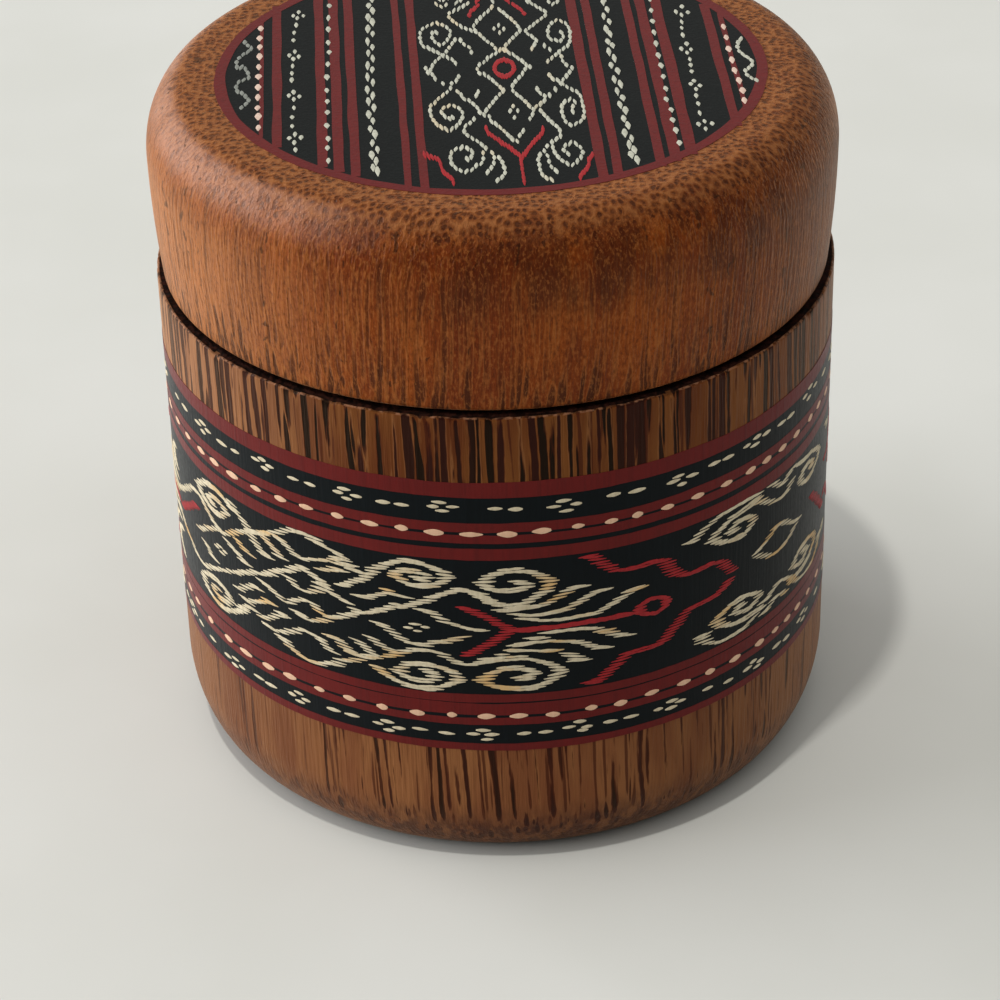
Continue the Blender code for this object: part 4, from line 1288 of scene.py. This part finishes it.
# Rows of single dabs, each from the back of what the photograph shows to the front
PINK_ROWS = [
    [(-27, 12.65), (-27, 9.9), (-26.85, 7.4), (-26.75, 4.8), (-26.7, 1.95), (-26.6, -0.7), (-26.5, -3.5),
     (-26.4, -6.15), (-26.3, -8.9), (-26.1, -11.1), (-25.95, -14)],
    [(27.4, 9.8), (27.5, 6.8), (27.55, 3.6), (27.7, 0.6), (27.8, -2.3), (28.1, -5), (28.3, -7.6),
     (28.3, -10.2)],
]
DOT_ROWS = [
    [(-19.1, 18.7), (-19.1, 15.2), (-19, 11.9), (-18.9, 8.2), (-18.7, 5.5), (-18.75, 2.25),
     (-18.75, -1.3), (-18.65, -4.8), (-18.5, -7.7), (-18.4, -10.5), (-18.35, -13.9), (-18.1, -17.2),
     (-18.1, -19.5), (-17.9, -22.6)],
    [(19.2, 18.3), (19.2, 15), (19.2, 11.9), (19.2, 8.7), (19.25, 5.6), (19.35, 2.3), (19.5, -0.4),
     (19.6, -3.4), (19.7, -6.6), (19.6, -9.4), (20, -12.1), (20, -14.7), (20.2, -17.3), (20.4, -20.4)],
]
TWISTED_ROWS = [
    [(-14.4, 18.5), (-14.4, 15.1), (-14.35, 11.8), (-14.3, 8.2), (-14.15, 5), (-14.15, 1.6),
     (-14.1, -1.5), (-14.05, -4.9), (-13.85, -8), (-13.75, -11.3), (-13.5, -15), (-13.2, -18.5),
     (-13.2, -21.5), (-13, -24.5)],
    [(-13.9, 17), (-13.85, 13.7), (-13.75, 10.3), (-13.7, 6.6), (-13.6, 3.5), (-13.6, 0.4), (-13.45, -3),
     (-13.4, -6.5), (-13.2, -9.6), (-13.25, -13), (-12.95, -16.4), (-12.6, -20.2), (-12.7, -23),
     (-12.5, -25.4)],
    [(13.6, 17.8), (13.5, 13.7), (13.65, 10), (13.7, 6.5), (13.7, 3.7), (13.8, 0), (14, -3.8), (14.2, -7),
     (14.35, -10.5), (14.6, -14), (14.55, -17.6), (14.9, -20.5), (15, -23)],
    [(14, 15.6), (14.1, 12.1), (14.05, 8.6), (14.2, 5.4), (14.25, 1.9), (14.5, -1.6), (14.65, -5.1),
     (14.75, -8.7), (14.9, -12), (15, -15.7), (15.25, -19), (15.4, -21.8), (15.6, -24.3)],
]
LID_PETALS = [
    (-22.7, 17.1), (-23.3, 16.1), (-22.1, 16), (-22.8, 15.4), (-22.7, 5.9), (-23.3, 4.9), (-22.2, 4.5),
    (-22.8, 3.9), (-22.4, -5), (-22.9, -5.9), (-21.7, -6.2), (-22.3, -6.9), (-21.8, -15.9),
    (-22.4, -16.8), (-21.1, -16.7), (-21.8, -17.9), (22.9, 15.9), (22.1, 14.4), (23.5, 14.2),
    (22.7, 13.5), (22.8, 5.3), (22.1, 4), (23.2, 3.7), (22.7, 2.9), (23, -4.7), (22.6, -5.5), (23.6, -6),
    (23.1, -6.9), (23.5, -15.2), (22.8, -15.9), (24.3, -15.8), (23.5, -17.1),
]
LID_DASHES = [
    (-22.85, 13.4), (-23, 11.2), (-23, 9.1), (-22.8, 2), (-22.8, 0), (-22.75, -1.8), (-22.2, -9.1),
    (-22.3, -11.5), (-22.2, -13.8), (-21.6, -19.7), (22.6, 11.5), (22.5, 9.8), (22.5, 7.8), (22.9, 1.1),
    (22.9, -0.5), (22.9, -2.2), (23, -8.6), (23.1, -10.7), (23.1, -13.1),
]

# What lies further back than this isn't in the photograph, and is the front half turned about the ring
LID_SEEN_BACK = 18.5
LID_CENTRE = (1.55, 0.0)
LID_RING_RADII = (1.12, 2.15)
# How far a dab leans against its path's slope, and the most that it leans
LID_LEAN_FOLLOW = 0.25
LID_LEAN_LIMIT = 0.18


def lid_dab(dabs, right, back, length, width, lean=0.0, tint=None, taper=POINTED, plump=0.0):
    """One dab on the lid's top, running from front to back."""

    def place(along, across, lift):
        return on_lid(right - across, back + along, lift)

    dabs.add(place, length, width, lean, tint, taper, plump)


def lid_line(dabs, points, brush, tint=None):
    """A line of dabs along a path on the lid, and its turned copy beyond what the photograph shows."""

    def measure(heading):
        return math.hypot(heading[0] / brush.step[0], heading[1] / brush.step[1])

    for (right, back), heading in stations(points, measure):
        slope = heading[0] / heading[1] if abs(heading[1]) > TINY else 0
        lean = max(-LID_LEAN_LIMIT, min(LID_LEAN_LIMIT, DISC_LEAN - LID_LEAN_FOLLOW * slope))
        lid_dab(dabs, right, back, brush.length, brush.width, lean, tint)
        if back < -LID_SEEN_BACK:
            lid_dab(dabs, 2 * LID_CENTRE[0] - right, -back, brush.length, brush.width, lean, tint)


def lid_row(dabs, spots, length, width, margin):
    """A row of dabs at chosen places, carried on behind them until it meets the disc's ring."""
    spots = list(spots)
    pitch = (spots[0][1] - spots[2][1]) / 2
    while math.hypot(spots[0][0], spots[0][1] + pitch) < DISC_RADIUS - margin:
        spots.insert(0, (spots[0][0] - DISC_LEAN * pitch, spots[0][1] + pitch))
    for right, back in spots:
        lid_dab(dabs, right, back, length, width, DISC_LEAN, tint=0, taper=1.25, plump=0.35)


def lid_cream():
    dabs = Dabs(53)
    for path in LID_FIGURE:
        lid_line(dabs, path, LID_CREAM)
    for right, back in LID_DOTS:
        lid_dab(dabs, right, back, *LID_DOT, taper=1.6)
    lid_line(dabs, LID_ZIGZAGS[1], LID_ZIGZAG, tint=0)
    for spots in TWISTED_ROWS:
        lid_row(dabs, spots, *TWISTED_ROW)
    for spots in DOT_ROWS:
        lid_row(dabs, spots, *DOT_ROW)
    for spots, size in ((LID_PETALS, LID_PETAL), (LID_DASHES, LID_DASH)):
        for right, back in spots:
            lid_dab(dabs, right, back, *size, DISC_LEAN, tint=0, plump=0.2)
    return dabs


def lid_grey():
    dabs = Dabs(83)
    lid_line(dabs, LID_ZIGZAGS[0], LID_FAINT_ZIGZAG, tint=0)
    return dabs


def lid_pink():
    dabs = Dabs(61)
    for spots in PINK_ROWS:
        lid_row(dabs, spots, *PINK_ROW)
    return dabs


def lid_scarlet():
    dabs = Dabs(71)
    for path in LID_SCARLET:
        lid_line(dabs, path, LID_SCARLET_BRUSH)
    for path in LID_ARMS:
        lid_line(dabs, path, LID_ARM)
    lid_line(dabs, oval(LID_CENTRE, LID_RING_RADII), LID_EYE)
    return dabs


# The scene


def build_wood():
    base = piece("base_shell", *turned(base_profile(), rim_wear), streaked_wood(), "base_body", "base_wood")
    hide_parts("base")
    base.data.materials.append(ledge_grain_and_shade())
    # The ledge and the foot of the spigot show open end grain, with painted shade under the lid
    for face in base.data.polygons:
        middle = Vector(face.center) / MM
        radius = math.hypot(middle.x, middle.y)
        if middle.z > RIM - 0.2 and SPIGOT_RADIUS + 0.1 < radius < BODY_RADIUS - RIM_ARRIS:
            face.material_index = 1
    lid = piece("lid_shell", *turned(lid_profile()), reddish_wood(), "lid_body", "lid_wood")
    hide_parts("lid")


def build_wall_paint(black, red, cream, peach, scarlet):
    vertices, faces = [], []
    wall_stripe(WALL_GROUND, GROUND_LIFT, 1, vertices, faces)
    piece("wall_black_ground", vertices, faces, black, "base_body", "black_paint")
    vertices, faces = [], []
    for index, edges in enumerate(WALL_RED_STRIPES):
        wall_stripe(edges, STRIPE_LIFT, 10 + 2 * index, vertices, faces)
    piece("wall_red_stripes", vertices, faces, red, "base_body", "red_paint")
    wall_cream().make("wall_cream_strokes", cream, "base_body", "cream_paint")
    wall_peach().make("wall_peach_dots", peach, "base_body", "peach_paint")
    wall_scarlet().make("wall_scarlet_strokes", scarlet, "base_body", "scarlet_paint")


def build_lid_paint(black, red, cream, grey, pink, scarlet):
    ring_middle = DISC_RADIUS - DISC_RING_WIDTH / 2
    vertices, faces = [], []
    disc_ring(0, ring_middle, GROUND_LIFT, 3, vertices, faces)
    piece("lid_black_ground", vertices, faces, black, "lid_body", "black_paint")
    vertices, faces = [], []
    disc_ring(DISC_RADIUS - DISC_RING_WIDTH, DISC_RADIUS, STRIPE_LIFT, 4, vertices, faces)
    for index, edges in enumerate(DISC_RED_STRIPES):
        disc_stripe(edges, STRIPE_LIFT - STRIPE_DROP, ring_middle, 40 + 2 * index, vertices, faces)
    piece("lid_red_stripes", vertices, faces, red, "lid_body", "red_paint")
    lid_cream().make("lid_cream_strokes", cream, "lid_body", "cream_paint")
    lid_grey().make("lid_grey_zigzag", grey, "lid_body", "cream_paint")
    lid_pink().make("lid_pink_dots", pink, "lid_body", "peach_paint")
    lid_scarlet().make("lid_scarlet_strokes", scarlet, "lid_body", "scarlet_paint")


def build_floor():
    material = Recipe("pale_table")
    mottle = material.noise(material.here, scale=0.02, detail=3.0).outputs[0]
    tone = material.mix(material.spread(mottle, 0.3, 0.7), linear(222, 223, 220), linear(217, 218, 214))
    material.set(Base_Color=tone, Roughness=0.7)
    material.fix("Specular IOR Level", 0.12)
    size = TABLE_REACH
    corners = [(-size, -size, 0), (size, -size, 0), (size, size, 0), (-size, size, 0)]
    mesh = bpy.data.meshes.new("table")
    mesh.from_pydata([Vector(corner) * MM for corner in corners], [], [(0, 1, 2, 3)])
    mesh.materials.append(material.material)
    table = bpy.data.objects.new("table", mesh)
    bpy.context.scene.collection.objects.link(table)


class Room(Nodes):
    """The light of the room around the box, built from nodes by direction."""

    def __init__(self, name):
        world = bpy.data.worlds.new(name)
        world.use_nodes = True
        super().__init__(world.node_tree)
        bpy.context.scene.world = world

    def toward(self):
        """How far a direction points to the back and up, each 0 where it points away."""
        _, back, up = self.split(self.add("ShaderNodeTexCoord").outputs["Generated"])
        return self.math("MAXIMUM", back, 0.0), self.math("MAXIMUM", up, 0.0)

    def shine(self, strength, colour):
        background = self.tree.nodes["Background"]
        background.inputs["Color"].default_value = colour
        self.feed(background.inputs["Strength"], strength)


def add_light(name, direction, distance, size, power, colour):
    """A soft light, size wide and high, that faces the box."""
    light = bpy.data.lights.new(name, "AREA")
    light.shape = "RECTANGLE"
    light.size, light.size_y = size[0] * MM, size[1] * MM
    light.energy = power
    light.color = colour
    holder = bpy.data.objects.new(name, light)
    target = Vector(LIGHT_AIM) * MM
    place = target + Vector(direction).normalized() * distance * MM
    holder.location = place
    holder.rotation_euler = (target - place).to_track_quat("-Z", "Y").to_euler()
    bpy.context.scene.collection.objects.link(holder)


def build_lights():
    """A low window on the left, a lamp high above the front, and a room bright overhead and behind."""
    add_light("window", *WINDOW)
    add_light("lamp", *LAMP)
    room = Room("room")
    behind, above = room.toward()
    overhead = room.times(room.math("POWER", above, 2.0), ROOM_OVERHEAD)
    glow = room.plus(overhead, room.times(behind, ROOM_BEHIND))
    room.shine(room.plus(glow, ROOM_EVEN), ROOM_COLOUR)


def build_camera():
    pan, elevation, roll = CAMERA_PAN, CAMERA_ELEVATION, CAMERA_ROLL
    ahead = math.cos(elevation)
    forward = Vector((math.sin(pan) * ahead, math.cos(pan) * ahead, -math.sin(elevation)))
    level = Vector((math.cos(pan), -math.sin(pan), 0))
    down = forward.cross(level)
    right = math.cos(roll) * level + math.sin(roll) * down
    up = math.sin(roll) * level - math.cos(roll) * down
    place = Vector((0, 0, CAMERA_AIM_HEIGHT))
    place += Vector((0, -ahead, math.sin(elevation))) * CAMERA_DISTANCE
    data = bpy.data.cameras.new("photograph")
    data.lens = CAMERA_LENS
    data.sensor_width = CAMERA_SENSOR
    data.clip_start = 0.01
    camera = bpy.data.objects.new("photograph", data)
    matrix = Matrix((right, up, -forward)).transposed().to_4x4()
    matrix.translation = place * MM
    camera.matrix_world = matrix
    bpy.context.scene.collection.objects.link(camera)
    bpy.context.scene.camera = camera


def main():
    black = paint("black_paint", linear(6, 12, 15), linear(10, 18, 22), 0.42, gloss=0.06, sheen=0.12)
    lid_black = paint(
        "lid_black_paint", linear(11, 15, 15), linear(18, 22, 21), 0.46, gloss=0.10, sheen=0.05
    )
    red = paint("red_paint", linear(106, 25, 23), linear(88, 22, 21), 0.45, gloss=0.08, sheen=0.14)
    scarlet = paint("scarlet_paint", linear(172, 37, 42), linear(136, 28, 33), 0.45)
    cream = paint(
        "cream_paint", linear(227, 214, 186), linear(186, 170, 137), 0.5, tint=linear(226, 184, 124)
    )
    lid_cream_paint = paint(
        "lid_cream_paint", linear(206, 206, 190), linear(158, 160, 146), 0.5, tint=linear(216, 202, 172)
    )
    grey = paint("lid_grey_paint", linear(150, 153, 146), linear(100, 104, 98), 0.5)
    peach = paint("peach_paint", linear(236, 196, 164), linear(214, 166, 134), 0.5)
    pink = paint("pink_paint", linear(230, 204, 188), linear(204, 172, 156), 0.5)
    build_wood()
    build_wall_paint(black, red, cream, peach, scarlet)
    build_lid_paint(lid_black, red, lid_cream_paint, grey, pink, scarlet)
    build_floor()
    build_lights()
    build_camera()
    bpy.context.scene.view_settings.view_transform = "Standard"


main()
bpy.context.view_layer.update()
